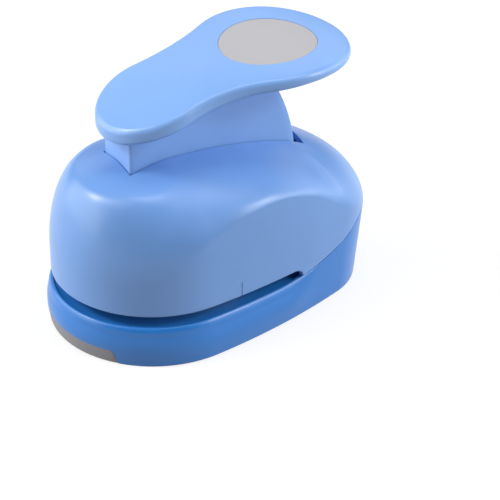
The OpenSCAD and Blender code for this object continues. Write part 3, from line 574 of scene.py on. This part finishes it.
def cut_slot(bm):
    """Opens the roof for the stem, and walls the opening between the outer and inner skin."""
    planes = [((SLOT_HALF, 0, 0), (1, 0, 0)), ((-SLOT_HALF, 0, 0), (1, 0, 0)),
              ((0, SLOT_FRONT_U, 0), (0, 1, 0)), ((0, SLOT_REAR_U, 0), (0, 1, 0))]

    def over_slot(face, spare):
        c = face.calc_center_median()
        u = c.y / MM + MIDDLE_U
        return (c.z > ROOF_LOW_Z * MM and abs(c.x) < (SLOT_HALF + spare) * MM
                and SLOT_FRONT_U - spare < u < SLOT_REAR_U + spare)

    for point, across in planes:
        faces = [f for f in bm.faces if over_slot(f, SLOT_REACH)]
        edges = list(dict.fromkeys(e for f in faces for e in f.edges))
        verts = list(dict.fromkeys(v for f in faces for v in f.verts))
        bmesh.ops.bisect_plane(bm, geom=faces + edges + verts, dist=SPECK,
                               plane_co=at(*point), plane_no=across)
    inside = [f for f in bm.faces if over_slot(f, SLOT_INSIDE)]
    bmesh.ops.delete(bm, geom=inside, context="FACES")
    near = dict.fromkeys(v for f in bm.faces if over_slot(f, 2 * SLOT_REACH) for v in f.verts)
    bmesh.ops.remove_doubles(bm, verts=list(near), dist=SLOT_WELD)
    bmesh.ops.bridge_loops(bm, edges=[e for e in bm.edges if e.is_boundary])
    bmesh.ops.recalc_face_normals(bm, faces=bm.faces)


def add_casing_bosses(obj):
    """Screw bosses under the roof, each tied to the wall by a gusset."""
    t = RIB_T / 2
    side_wall = half_width(CASING_SCREWS[0][1], *CASING, DECK_Z)
    tail_wall = END_SPAN + REAR_LEAN * TAIL_RIM_Z + CASING_REAR_R
    low, high = TAIL_RIM_Z + 1, DECK_Z + BOSS_H - 1
    for v, u in CASING_SCREWS:
        join(obj, post(BOSS_R, v, u, DECK_Z, DECK_Z + BOSS_H))
        if v:
            ends = sorted((v, math.copysign(side_wall - GUSSET_LAP, v)))
            join(obj, slab((ends[0], u - t, low), (ends[1], u + t, high)))
        else:
            join(obj, slab((-t, u, low), (t, tail_wall - GUSSET_LAP, high)))
        cut(obj, post(HOLE_R, v, u, DECK_Z - 1, DECK_Z + HOLE_DEPTH))
    low, high = GUIDE_TOP_Z + BOSS_R, GUIDE_TOP_Z + FRONT_BOSS_H - 1
    for v, u in FRONT_SCREWS:
        join(obj, post(BOSS_R, v, u, GUIDE_TOP_Z, GUIDE_TOP_Z + FRONT_BOSS_H))
        out = Vector((v, u)).normalized()
        reach = CASING_FRONT_R - Vector((v, u)).length - GUSSET_LAP
        bm = slab((0, MIDDLE_U - t, low), (reach, MIDDLE_U + t, high))
        turn = Matrix.Rotation(math.atan2(out.y, out.x), 4, "Z")
        bmesh.ops.transform(bm, matrix=Matrix.Translation(at(v, u, 0)) @ turn, verts=bm.verts)
        join(obj, bm)
        cut(obj, post(HOLE_R, v, u, GUIDE_TOP_Z - 1, GUIDE_TOP_Z + HOLE_DEPTH))


class PUNCH_OT_casing(bpy.types.Operator):
    """Domed casing with its lip, alignment ticks and the slot for the lever's stem"""
    bl_idname = "punch.casing"
    bl_label = "Casing"

    def execute(self, context):
        sizes, tints = context.scene.punch_sizes, context.scene.punch_tints
        bm = loft(casing_rings(sizes.lip_round / MM, sizes.tick_depth / MM))
        cut_slot(bm)
        obj = as_object(bm, "casing_dome")
        add_casing_bosses(obj)
        finish = moulded_plastic("casing_satin_blue", tints.casing, tints.casing_rough, tints.grain)
        dress(obj, finish, "body", "casing_plastic", "upper_casing")
        return {"FINISHED"}


# Base

def base_egg(q, z, inset):
    rear = BASE_REAR_R + (CASING_REAR_R - BASE_REAR_R) * clamp(z / TAIL_RIM_Z)
    return egg(q, BASE_FRONT_R, rear, z, inset)


def base_rings():
    """Rings from under the deck down the skirt, round the foot, over the rim and to the deck."""
    spots = stations(*BASE_STEPS)
    rings = []

    def add(height, inset):
        rings.append(whole_ring([base_egg(q, height(q), inset(q)) for q in spots]))

    def level(size):
        return lambda q: size

    def faded(front, rear):
        """A size that changes where the rim's band fades out."""
        return lambda q: smooth(front, rear, (q - BAND_FADE[0]) / (BAND_FADE[1] - BAND_FADE[0]))

    band_h, band_d = faded(RIM_BAND_H, RIM_EDGE), faded(RIM_BAND_D, RIM_EDGE)
    land, belly = faded(RIM_BAND_D + RIM_LAND, BASE_WALL), faded(BASE_BELLY, 0)
    add(level(UNDER_Z), level(BASE_WALL + CAVITY_DRAFT))
    add(level(FOOT_INNER), level(BASE_WALL))
    add(level(0), level(BASE_WALL - FOOT_INNER))
    for a in quarter(4):
        add(level(FOOT_H * rise(a)), level(FOOT_EDGE * fall(a)))
    for i in range(1, SKIRT_ROWS + 1):
        t = FOOT_SHARE + (1 - FOOT_SHARE) * i / SKIRT_ROWS
        add(lambda q: (seam_z(q) - band_h(q)) * t,
            lambda q: -belly(q) * math.sin(math.pi * t ** BELLY_SKEW))
    for a in quarter(12)[1:]:
        add(lambda q: seam_z(q) - band_h(q) * fall(a), lambda q: band_d(q) * rise(a))
    add(seam_z, lambda q: land(q) - LAND_EDGE)
    add(lambda q: seam_z(q) - LAND_EDGE, land)
    add(level(DECK_Z), lambda q: land(q) + CAVITY_DRAFT / 4)
    return closed(rings)


def plate_rings(slack, reach, edge):
    """Rings over the back, rim and face of the front plate, or of the recess for it."""
    low = -1.0 if reach else 0.0
    w, h = PLATE_HALF + slack, PLATE_H + slack
    side_h = h - PLATE_CORNER - low
    foot_w = w + PLATE_FLARE * side_h / (h - PLATE_CORNER + 1)
    outline = [(0.0, low)] + [(foot_w * k / 10, low) for k in range(1, 11)]
    outline += [(foot_w + (w - foot_w) * k / 4, low + side_h * k / 4) for k in range(1, 4)]
    outline += [(w - PLATE_CORNER * rise(math.radians(a)), h - PLATE_CORNER * fall(math.radians(a)))
                for a in range(0, 91, 15)]
    outline += [((w - PLATE_CORNER) * (1 - k / 10), h) for k in range(1, 11)]
    low_r, high_r = BASE_FRONT_R - FOOT_EDGE, BASE_FRONT_R + BASE_BELLY
    mid, half_h = (low + h) / 2, (h - low) / 2

    def face_r(z):
        if z < FOOT_EDGE:
            return low_r + (BASE_FRONT_R - low_r) * z / FOOT_EDGE
        return BASE_FRONT_R + (high_r - BASE_FRONT_R) * (z - FOOT_EDGE) / (PLATE_H - FOOT_EDGE)

    def back_r(z):
        return low_r - PLATE_T - slack + (high_r - low_r) * clamp(z / (PLATE_H + 1))

    def ring(share, draw, radius):
        half = []
        for v, z in outline:
            v, z = v * (1 - draw / w) * share, mid + (z - mid) * (1 - draw / half_h) * share
            r = radius(z)
            half.append((v, -math.sqrt(r * r - v * v), z))
        return whole_ring(half)

    shares = [k / PLATE_ROWS for k in range(PLATE_ROWS + 1)]
    rings = [ring(k, 0, back_r) for k in shares]
    rings.append(ring(1, 0, lambda z: face_r(z) + reach - edge))
    if edge:
        rings.append(ring(1, edge * 0.3, lambda z: face_r(z) + reach - edge * 0.3))
    rings += [ring(k, edge, lambda z: face_r(z) + reach) for k in reversed(shares)]
    return rings


class PUNCH_OT_base(bpy.types.Operator):
    """Base moulding: skirt with its rounded rim, deck, chip chute, ribs and recesses"""
    bl_idname = "punch.base"
    bl_label = "Base"

    def execute(self, context):
        tints = context.scene.punch_tints
        obj = as_object(loft(base_rings()), "base_skirt")
        top, seat_z = UNDER_Z + 1, DECK_Z - DIE_T
        join(obj, post(CHUTE_R + CHUTE_WALL, 0, DIE_U, 0, top, FINE_ROUND))
        mid, lap, t = CHUTE_R + CHUTE_WALL / 2, BASE_WALL / 2, RIB_T / 2
        side = half_width(DIE_U, *BASE, 0) - lap
        rear = BLOCK_REAR_U + RIB_BEHIND
        reach = half_width(rear, *BASE, 0) - lap
        ribs = [(mid, side, DIE_U - t, DIE_U + t), (-side, -mid, DIE_U - t, DIE_U + t),
                (-t, t, lap - BASE_FRONT_R, DIE_U - mid), (-t, t, DIE_U + mid, rear),
                (-reach, reach, rear - t, rear + t)]
        for v0, v1, u0, u1 in ribs:
            join(obj, slab((v0, u0, RIB_LOW_Z), (v1, u1, top)))
        cut(obj, post(CHUTE_R, 0, DIE_U, -1, DECK_Z - 1, FINE_ROUND))
        recess = CUT_R + DIE_RIM + SEAT_GAP
        cut(obj, post(recess, 0, DIE_U, seat_z, DECK_Z + 1, FINE_ROUND))
        wide = BLOCK_HALF + SEAT_GAP
        cut(obj, slab((-wide, DIE_U, seat_z), (wide, BLOCK_REAR_U + SEAT_GAP, DECK_Z + 1)))
        for v, u in DIE_SCREWS + CASING_SCREWS:
            cut(obj, post(HOLE_R, v, u, UNDER_Z - 1, DECK_Z + 1, SMALL_ROUND))
        cut(obj, loft(plate_rings(SEAT_GAP, PLATE_CLEAR, 0.0)))
        finish = moulded_plastic("base_satin_blue", tints.base, tints.base_rough, tints.grain)
        dress(obj, finish, "body", "base_plastic", "base_shell")
        return {"FINISHED"}


class PUNCH_OT_front_plate(bpy.types.Operator):
    """Bare grey plate let into the front of the base"""
    bl_idname = "punch.front_plate"
    bl_label = "Front Plate"

    def execute(self, context):
        sizes, tints = context.scene.punch_sizes, context.scene.punch_tints
        obj = as_object(loft(plate_rings(0.0, 0.0, sizes.plate_round / MM)), "front_strip")
        finish = matt_plastic("strip_matt_grey", tints.strip, STRIP_ROUGH)
        dress(obj, finish, "body", "grey_plastic", "front_plate")
        return {"FINISHED"}


# Lever

def lever_z(u):
    """Height of the lever's arched top."""
    d = u - LEVER_REAR_U
    return min(LEVER_TOP_Z + LEVER_SLOPE * d - d * d / (2 * LEVER_ARCH_R), TOP_Z)


def plate_z(u):
    """Height of the lever plate's underside."""
    thin = clamp((u - LEVER_FRONT_U) / (LEVER_REAR_U - LEVER_FRONT_U))
    return lever_z(u) - LEVER_T + (LEVER_T - PADDLE_T) * thin


def lever_outline(q, inset):
    """Racquet outline of arcs at station q, from 0 at the front tip to 3 at the rear."""
    apart = LEVER_REAR_U - LEVER_FRONT_U
    near, far = LEVER_FRONT_R + LEVER_NECK_R, LEVER_REAR_R + LEVER_NECK_R
    nu = (near ** 2 - far ** 2 + apart ** 2) / (2 * apart)
    nv = math.sqrt(near ** 2 - nu ** 2)
    a1, a2 = math.atan2(nv, nu), math.atan2(nv, nu - apart)
    if q < 1:
        a, r, cv, cu = math.pi + (a1 - math.pi) * q, LEVER_FRONT_R - inset, 0.0, LEVER_FRONT_U
    elif q < 2:
        a, r = a1 + math.pi + (a2 - a1) * (q - 1), LEVER_NECK_R + inset
        cv, cu = nv, LEVER_FRONT_U + nu
    else:
        a, r, cv, cu = a2 * (3 - q), LEVER_REAR_R - inset, 0.0, LEVER_REAR_U
    return cv + r * math.sin(a), cu + r * math.cos(a)


def lever_rings():
    """Rings from the middle of the underside, round the rounded rim, to the middle of the top."""
    spots = stations(*LEVER_STEPS)

    def ring(inset, height):
        return whole_ring([(v, u, height(u)) for v, u in (lever_outline(q, inset) for q in spots)])

    rings = [ring(LEVER_EDGE * fall(a), lambda u: plate_z(u) + LEVER_EDGE * rise(a))
             for a in quarter(8)]
    rings += [ring(LEVER_EDGE * rise(a), lambda u: lever_z(u) - LEVER_EDGE * fall(a))
              for a in quarter(8)]
    return closed(rings)


def stem_rings(half, sweep, front_u, corner, low_z, fillet, drop):
    """Rings up the stem, which flare into the plate's underside by a fillet."""

    def fade(u):
        return clamp((COLLAR_REAR_U - u) / COLLAR_FADE)

    def ring(height, out):
        rear = PIVOT_U + sweep
        for _ in range(6):
            rear = PIVOT_U + math.sqrt(sweep ** 2 - (height(rear) - PIVOT_Z) ** 2)
        r = corner + out
        side, last, steps = front_u + corner, rear - REAR_EDGE, 24
        spots = [(0.0, front_u - out)]
        spots += [(half + out - r + r * math.sin(a), side - r * math.cos(a))
                  for a in (math.radians(15 * k) for k in range(6))]
        flank = [side + (last - side) * k / steps for k in range(steps + 1)]
        spots += [(half + out * fade(u), u) for u in flank]
        spots += [(half - REAR_EDGE_MID, rear - REAR_EDGE_MID), (half - REAR_EDGE, rear),
                  (0.0, rear)]
        return whole_ring([(v, u, height(u)) for v, u in spots])

    def level(t):
        return lambda u: low_z + (plate_z(u) - fillet - drop - low_z) * t

    rings = [ring(level(k / STEM_ROWS), 0.0) for k in range(STEM_ROWS + 1)]
    if fillet:
        rings += [ring(lambda u: plate_z(u) - fillet * fall(a), fillet * rise(a))
                  for a in quarter(8)[1:]]
        rings.append(ring(lambda u: plate_z(u) + 1.0, fillet))
    return closed(rings)


def disc_rings(radius, top, depth, edge):
    """Rings of a disc that follows the arch of the lever's top."""
    turns = [math.tau * k / DISC_SPOTS for k in range(DISC_SPOTS)]

    def ring(r, drop):
        spots = [(r * math.sin(a), LEVER_REAR_U - r * math.cos(a)) for a in turns]
        return [(v, u, lever_z(u) - drop) for v, u in spots]

    radii = [radius * k / DISC_ROWS for k in range(DISC_ROWS + 1)]
    rings = [ring(r, depth) for r in radii]
    if edge:
        rings += [ring(radius - edge * rise(a), top + edge * fall(a)) for a in quarter(3)]
    else:
        rings.append(ring(radius, top))
    rings += [ring(r, top) for r in reversed(radii[:-1])]
    return rings


class PUNCH_OT_lever(bpy.types.Operator):
    """Racquet-shaped lever on its hollow stem"""
    bl_idname = "punch.lever"
    bl_label = "Lever"

    def execute(self, context):
        tints = context.scene.punch_tints
        obj = as_object(loft(lever_rings()), "lever_racquet")
        join(obj, loft(stem_rings(STEM_HALF, STEM_SWEEP_R, STEM_FRONT_U, STEM_CORNER, STEM_LOW_Z,
                                  STEM_FILLET, 0.0)))
        join(obj, rod(HUB_R, (-STEM_HALF, PIVOT_U, PIVOT_Z), (STEM_HALF, PIVOT_U, PIVOT_Z)))
        cut(obj, loft(stem_rings(STEM_HALF - STEM_WALL, STEM_SWEEP_R - STEM_WALL,
                                 PIVOT_U + HUB_R + 1, HOLLOW_CORNER, STEM_LOW_Z - 1,
                                 0.0, HOLLOW_DROP)))
        wide = 2 * STEM_HALF
        for r, u, z in ((PIVOT_R + RUN_GAP, PIVOT_U, PIVOT_Z),
                        (ROLLER_PIN_R + SEAT_GAP, DIE_U, ROLLER_Z)):
            cut(obj, rod(r, (-wide, u, z), (wide, u, z), BORE_ROUND))
        cut(obj, loft(disc_rings(PAD_R + SEAT_GAP, -PAD_CLEAR, PAD_T + SEAT_GAP, 0.0)))
        finish = moulded_plastic("lever_satin_blue", tints.lever, tints.lever_rough, tints.grain)
        dress(obj, finish, "press_lever", "lever_plastic", "lever")
        return {"FINISHED"}


class PUNCH_OT_thumb_disc(bpy.types.Operator):
    """Bare grey disc in the lever's paddle"""
    bl_idname = "punch.thumb_disc"
    bl_label = "Thumb Disc"

    def execute(self, context):
        sizes, tints = context.scene.punch_sizes, context.scene.punch_tints
        rings = disc_rings(PAD_R, PAD_SINK, PAD_T, sizes.disc_round / MM)
        obj = as_object(loft(rings), "thumb_disc")
        finish = matt_plastic("disc_matt_grey", tints.disc, DISC_ROUGH)
        dress(obj, finish, "press_lever", "grey_plastic", "thumb_pad")
        return {"FINISHED"}


# Metal

STEELS = {
    "plate_steel": ("pressed_plate_steel", "plate", 0.34, (1.0, 0.04, 1.0)),
    "cutter_steel": ("ground_cutter_steel", "cutter", 0.24, (1.0, 1.0, 0.05)),
    "pin_steel": ("turned_pin_steel", "pin", 0.22, (1.0, 0.3, 0.3)),
    "spring_wire": ("drawn_spring_wire", "wire", 0.28, (0.4, 0.4, 1.0)),
    "screw_steel": ("dark_zinc_screws", "screw", 0.36, (1.0, 1.0, 0.4)),
}


def steel(slot, tints):
    """The finish of a steel slot, made when it is first asked for."""
    name, shade, rough, stretch = STEELS[slot]
    made = bpy.data.materials.get(name)
    return made or brushed_steel(name, getattr(tints, shade), rough, stretch)


class PUNCH_OT_steel(bpy.types.Operator):
    """Finishes of the pressed, ground, turned and drawn steel inside the casing"""
    bl_idname = "punch.steel"
    bl_label = "Steel Parts"

    def execute(self, context):
        for part in frame["record"]["subparts"]:
            if part["material_slot"] in STEELS:
                mesh = frame["nodes"][part["node"]].data
                for i in range(len(mesh.materials)):
                    mesh.materials[i] = steel(part["material_slot"], context.scene.punch_tints)
        return {"FINISHED"}


def close_ends(bm):
    bmesh.ops.holes_fill(bm, edges=[e for e in bm.edges if e.is_boundary], sides=0)


def wound_spring(v, grind):
    """Wire wound round a guide post, with a closed turn at each end that is ground flat."""
    bm = bmesh.new()
    low, high = SPRING_LOW_Z + WIRE_D / 2 - grind, SPRING_HIGH_Z - WIRE_D / 2 + grind
    open_pitch = (high - low - 2 * CLOSED_PITCH) / SPRING_TURNS
    upright = Matrix.Rotation(math.pi / 2, 4, "X")
    stand = Matrix.Translation(at(v + SPRING_R, DIE_U, low)) @ upright
    wire = bmesh.ops.create_circle(bm, cap_ends=False, segments=WIRE_SIDES,
                                   radius=WIRE_D / 2 * MM, matrix=stand)["verts"]
    ring = wire + bm.edges[:]
    steps = 40
    for turns, pitch in ((1, CLOSED_PITCH), (SPRING_TURNS, open_pitch), (1, CLOSED_PITCH)):
        made = bmesh.ops.spin(bm, geom=ring, cent=at(v, DIE_U, 0), axis=(0, 0, 1),
                              angle=math.tau * turns, dvec=(0, 0, pitch / steps * MM),
                              steps=steps * turns, use_merge=False)
        ring = made["geom_last"]
    close_ends(bm)
    for z, up in ((SPRING_LOW_Z, -1), (SPRING_HIGH_Z, 1)):
        bmesh.ops.bisect_plane(bm, geom=bm.verts[:] + bm.edges[:] + bm.faces[:], dist=GRIND_SPECK,
                               plane_co=at(0, 0, z), plane_no=(0, 0, up), clear_outer=True)
        close_ends(bm)
    solid(bm)
    return bm


class PUNCH_OT_springs(bpy.types.Operator):
    """Two return springs, shown at rest; the punch shortens them as it goes down"""
    bl_idname = "punch.springs"
    bl_label = "Return Springs"

    def execute(self, context):
        sizes, tints = context.scene.punch_sizes, context.scene.punch_tints
        for side, v in (("left", -POST_V), ("right", POST_V)):
            obj = as_object(wound_spring(v, sizes.spring_grind / MM), f"spring_{side}")
            finish = steel("spring_wire", tints)
            dress(obj, finish, "body", "spring_wire", f"{side}_return_spring")
            tuple(at(v, DIE_U, SPRING_LOW_Z))
            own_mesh(obj)
        return {"FINISHED"}


# Each node of screws with its piece, its body and whether the heads are at the top
SCREWS = (
    ("die_screws", "die_set_screws", "body", False),
    ("casing_screws", "casing_fixings", "body", False),
    ("front_casing_screws", "front_fixings", "body", False),
    ("yoke_screws", "yoke_fixings", "body", True),
    ("cap_screws", "cap_fixings", "punch", True),
)


def screw_spots(node):
    """Middles of a node's screws, and the heights of its lowest and highest points."""
    low, high = (corner / MM for corner in map(Vector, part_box(node)))
    v = high.x - SCREW_HEAD_R
    front, rear = low.y + MIDDLE_U + SCREW_HEAD_R, high.y + MIDDLE_U - SCREW_HEAD_R
    if node == "casing_screws":
        spots = CASING_SCREWS
    elif node == "front_casing_screws":
        spots = FRONT_SCREWS
    elif node == "cap_screws":
        spots = [(v, rear), (-v, rear), (0.0, front)]
    else:
        spots = [(side, u) for side in (-v, v) for u in (front, rear)]
    return spots, low.z, high.z


def pan_screw(bm, v, u, head_z, tip_z):
    """A pan-head screw, turned from its outline of radii and depths below the head."""
    to_tip = math.copysign(1.0, tip_z - head_z)
    end = abs(tip_z - head_z)
    outline = [(0.0, 0.0), (SCREW_HEAD_R - 1.6 * SCREW_CROWN, 0.06)]
    outline += [(SCREW_HEAD_R - 1.3 * SCREW_CROWN * fall(a), 0.1 + SCREW_CROWN * rise(a))
                for a in (math.radians(18 * k) for k in range(6))]
    outline += [(SCREW_HEAD_R, SCREW_HEAD_H), (SCREW_R, SCREW_HEAD_H),
                (SCREW_R, end - SCREW_POINT), (SCREW_R - SCREW_POINT, end), (0.0, end)]
    row = [bm.verts.new(at(v + r, u, head_z + d * to_tip)) for r, d in outline]
    line = [bm.edges.new(pair) for pair in zip(row, row[1:])]
    bmesh.ops.spin(bm, geom=row + line, cent=at(v, u, 0), axis=(0, 0, 1), angle=math.tau,
                   steps=SCREW_STEPS, use_merge=True)


class PUNCH_OT_screws(bpy.types.Operator):
    """Pan-head screws with a cross recess"""
    bl_idname = "punch.screws"
    bl_label = "Screws"

    def execute(self, context):
        sizes, tints = context.scene.punch_sizes, context.scene.punch_tints
        half, depth = sizes.recess_width / MM / 2, sizes.recess_depth / MM
        for node, name, body, upright in SCREWS:
            spots, low, high = screw_spots(node)
            head, tip = (high, low) if upright else (low, high)
            bm = bmesh.new()
            for v, u in spots:
                pan_screw(bm, v, u, head, tip)
            solid(bm)
            obj = as_object(bm, name)
            out = math.copysign(1.0, head - tip)
            z0, z1 = sorted((head + RECESS_CLEAR * out, head - depth * out))
            for v, u in spots:
                for wide, long in ((RECESS_REACH, half), (half, RECESS_REACH)):
                    cut(obj, slab((v - wide, u - long, z0), (v + wide, u + long, z1)))
            dress(obj, steel("screw_steel", tints), body, "screw_steel", node)
        return {"FINISHED"}


# Stage, in metres but for the sensor: the way to the camera, its right, its aim and the lamps' aim
TO_CAMERA, RIGHT, UP = Vector((0.8571, -0.5151, 0)), Vector((0.5151, 0.8571, 0)), Vector((0, 0, 1))
CAMERA_AIM, CAMERA_AWAY = at(-18.5, 57.4, 0), Vector((0.7228, -0.4344, 0.5249))
SENSOR_W, NEAREST, FLOOR_HALF, LAMP_AIM = 36.0, 0.01, 4.0, Vector((0, 0, 0.05))

# Each lamp's name, its way to the right, to the camera and up, its width, height and power's name
LAMPS = (
    ("left_spot", -0.84, 0.06, 0.72, 0.22, 0.22, "spot"),
    ("left_high", -0.6, 0.3, 0.95, 0.4, 0.4, "left_high"),
    ("left_card", -1.1, 0.0, 0.25, 1.4, 0.9, "left"),
    ("right_softbox", 1.1, -0.2, 0.35, 1.6, 1.0, "right"),
    ("right_card", 1.1, 0.05, 0.2, 1.2, 0.4, "card"),
    ("crest_spot", 0.83, 0.26, 0.66, 0.24, 0.24, "crest"),
    ("crest_strip", 0.95, 0.4, 0.42, 0.5, 0.1, "strip"),
    ("back_card", 0.0, -1.2, 0.7, 2.0, 0.6, "back"),
    ("top_right", 0.36, 0.08, 1.08, 0.45, 0.45, "top_right"),
    ("top_softbox", 0.0, 0.0, 1.15, 0.5, 0.5, "top"),
)


class PUNCH_OT_stage(bpy.types.Operator):
    """Pale floor, soft studio light and the camera"""
    bl_idname = "punch.stage"
    bl_label = "Stage"

    def execute(self, context):
        scene, look = context.scene, context.scene.punch_stage
        scene.view_settings.view_transform = "Standard"
        self.lay_floor(look)
        self.light(scene, look)
        camera = bpy.data.objects.new("camera", bpy.data.cameras.new("camera"))
        scene.collection.objects.link(camera)
        camera.data.lens, camera.data.sensor_width = look.lens, SENSOR_W
        camera.data.clip_start = NEAREST
        camera.location = CAMERA_AIM + CAMERA_AWAY
        look_way = CAMERA_AIM - camera.location
        camera.rotation_euler = look_way.to_track_quat("-Z", "Y").to_euler()
        scene.camera = camera
        return {"FINISHED"}

    def lay_floor(self, look):
        bm = bmesh.new()
        bmesh.ops.create_grid(bm, x_segments=8, y_segments=8, size=FLOOR_HALF)
        floor = as_object(bm, "floor")
        f = Finish("floor_white")
        seen = (f.node("ShaderNodeLightPath", out="Is Camera Ray")
                + f.node("ShaderNodeLightPath", out="Is Glossy Ray")
                + f.node("ShaderNodeLightPath", out="Is Transmission Ray"))
        matt = f.node("ShaderNodeBsdfDiffuse", {"Color": (look.floor,) * 3 + (1,)})
        lift = f.node("ShaderNodeEmission", {"Strength": seen * look.floor_lift})
        f.surface(f.node("ShaderNodeAddShader", {0: matt, 1: lift}))
        floor.data.materials.append(f.material)

    def light(self, scene, look):
        scene.world = bpy.data.worlds.new("studio")
        scene.world.use_nodes = True
        sky = scene.world.node_tree.nodes["Background"].inputs
        sky["Color"].default_value, sky["Strength"].default_value = (1, 1, 1, 1), look.world
        for name, right, to_camera, up, wide, high, key in LAMPS:
            light = bpy.data.lights.new(name, "AREA")
            light.shape, light.size, light.size_y = "RECTANGLE", wide, high
            light.energy = getattr(look, key)
            lamp = bpy.data.objects.new(name, light)
            scene.collection.objects.link(lamp)
            offset = right * RIGHT + to_camera * TO_CAMERA + up * UP
            lamp.location = LAMP_AIM + offset
            lamp.rotation_euler = (-offset).to_track_quat("-Z", "Y").to_euler()


# What a user may change

def length(name, words, metres):
    return bpy.props.FloatProperty(name=name, description=words, default=metres, unit="LENGTH")


def fraction(name, words, size):
    return bpy.props.FloatProperty(name=name, description=words, default=size,
                                   subtype="FACTOR", min=0, max=1)


def power(name, words, watts):
    return bpy.props.FloatProperty(name=name, description=words, default=watts, unit="POWER")


def tint(name, words, colour):
    return bpy.props.FloatVectorProperty(name=name, description=words, default=colour + (1.0,),
                                         subtype="COLOR", size=4, min=0, max=1)


class PunchSizes(bpy.types.PropertyGroup):
    lip_round: length("Lip Rounding", "Radius along the casing's lower edge", 0.0007)
    tick_depth: length("Tick Depth", "Depth of the alignment ticks above the lip", 0.0003)
    plate_round: length("Plate Rounding", "Edge radius of the grey front plate", 0.0003)
    disc_round: length("Disc Rounding", "Edge radius of the grey disc", 0.0003)
    spring_grind: length("Spring Grind", "Wire ground off the springs' end turns", 0.0002)
    recess_width: length("Recess Width", "Width of the screws' cross recess", 0.00062)
    recess_depth: length("Recess Depth", "Depth of the screws' cross recess", 0.0011)


class PunchTints(bpy.types.PropertyGroup):
    base: tint("Base Blue", "Plastic of the base", (0.026, 0.225, 0.70))
    casing: tint("Casing Blue", "Plastic of the casing", (0.178, 0.372, 0.795))
    lever: tint("Lever Blue", "Plastic of the lever", (0.235, 0.45, 0.9))
    disc: tint("Disc Grey", "Disc in the paddle", (0.50, 0.495, 0.52))
    strip: tint("Strip Grey", "Plate in the base", (0.3, 0.3, 0.325))
    plate: tint("Plate Steel", "Pressed plates", (0.56, 0.57, 0.59))
    cutter: tint("Cutter Steel", "Ground cutter", (0.64, 0.65, 0.67))
    pin: tint("Pin Steel", "Turned pins and posts", (0.66, 0.67, 0.69))
    wire: tint("Spring Wire", "Drawn wire", (0.60, 0.61, 0.63))
    screw: tint("Screw Zinc", "Dark zinc on the screws", (0.24, 0.25, 0.27))
    base_rough: fraction("Base Roughness", "Gloss of the base", 0.31)
    casing_rough: fraction("Casing Roughness", "Gloss of the casing", 0.31)
    lever_rough: fraction("Lever Roughness", "Gloss of the lever", 0.31)
    grain: fraction("Grain", "Strength of the mould's grain", 0.18)


class PunchStage(bpy.types.PropertyGroup):
    floor: fraction("Floor", "Paleness of the floor", 0.3)
    floor_lift: bpy.props.FloatProperty(
        name="Floor Lift", description="White added to the floor that the camera sees",
        default=0.75, min=0, max=1)
    world: bpy.props.FloatProperty(name="Surround", description="Light from all round",
                                   default=0.05, min=0)
    spot: power("Left Spot", "Small softbox on the left", 4)
    left_high: power("Left High", "Softbox high on the left", 1.6)
    left: power("Left Card", "White card on the left", 11)
    right: power("Right Lamp", "Softbox on the right", 6)
    card: power("Right Card", "White card on the right", 3.0)
    crest: power("Crest Spot", "Small softbox on the right", 3.0)
    strip: power("Crest Strip", "Low strip light on the right", 1.5)
    back: power("Back Card", "White card behind", 3.2)
    top_right: power("Top Right", "Softbox overhead on the right", 1.2)
    top: power("Top Lamp", "Softbox overhead", 2.5)
    lens: bpy.props.FloatProperty(name="Lens", description="Focal length in millimetres",
                                  default=162.5, unit="CAMERA")


OPERATORS = (PUNCH_OT_casing, PUNCH_OT_base, PUNCH_OT_front_plate, PUNCH_OT_lever,
             PUNCH_OT_thumb_disc, PUNCH_OT_steel, PUNCH_OT_springs, PUNCH_OT_screws,
             PUNCH_OT_stage)


class PUNCH_PT_panel(bpy.types.Panel):
    """Lists the pieces and what can be changed on them"""
    bl_idname = "PUNCH_PT_panel"
    bl_label = "Circle Craft Punch"
    bl_space_type = "VIEW_3D"
    bl_region_type = "UI"
    bl_category = "Punch"

    def draw(self, context):
        scene = context.scene
        for group in (scene.punch_sizes, scene.punch_tints, scene.punch_stage):
            box = self.layout.box()
            for key in group.__annotations__:
                box.prop(group, key)
        for operator in OPERATORS:
            self.layout.operator(operator.bl_idname)


CLASSES = (PunchSizes, PunchTints, PunchStage) + OPERATORS + (PUNCH_PT_panel,)


def register():
    for cls in CLASSES:
        bpy.utils.register_class(cls)
    bpy.types.Scene.punch_sizes = bpy.props.PointerProperty(type=PunchSizes)
    bpy.types.Scene.punch_tints = bpy.props.PointerProperty(type=PunchTints)
    bpy.types.Scene.punch_stage = bpy.props.PointerProperty(type=PunchStage)


def unregister():
    del bpy.types.Scene.punch_stage
    del bpy.types.Scene.punch_tints
    del bpy.types.Scene.punch_sizes
    for cls in reversed(CLASSES):
        bpy.utils.unregister_class(cls)


def main():
    register()
    bpy.ops.punch.casing()
    bpy.ops.punch.base()
    bpy.ops.punch.front_plate()
    bpy.ops.punch.lever()
    bpy.ops.punch.thumb_disc()
    bpy.ops.punch.steel()
    bpy.ops.punch.springs()
    bpy.ops.punch.screws()
    bpy.ops.punch.stage()


if __name__ == "__main__":
    main()
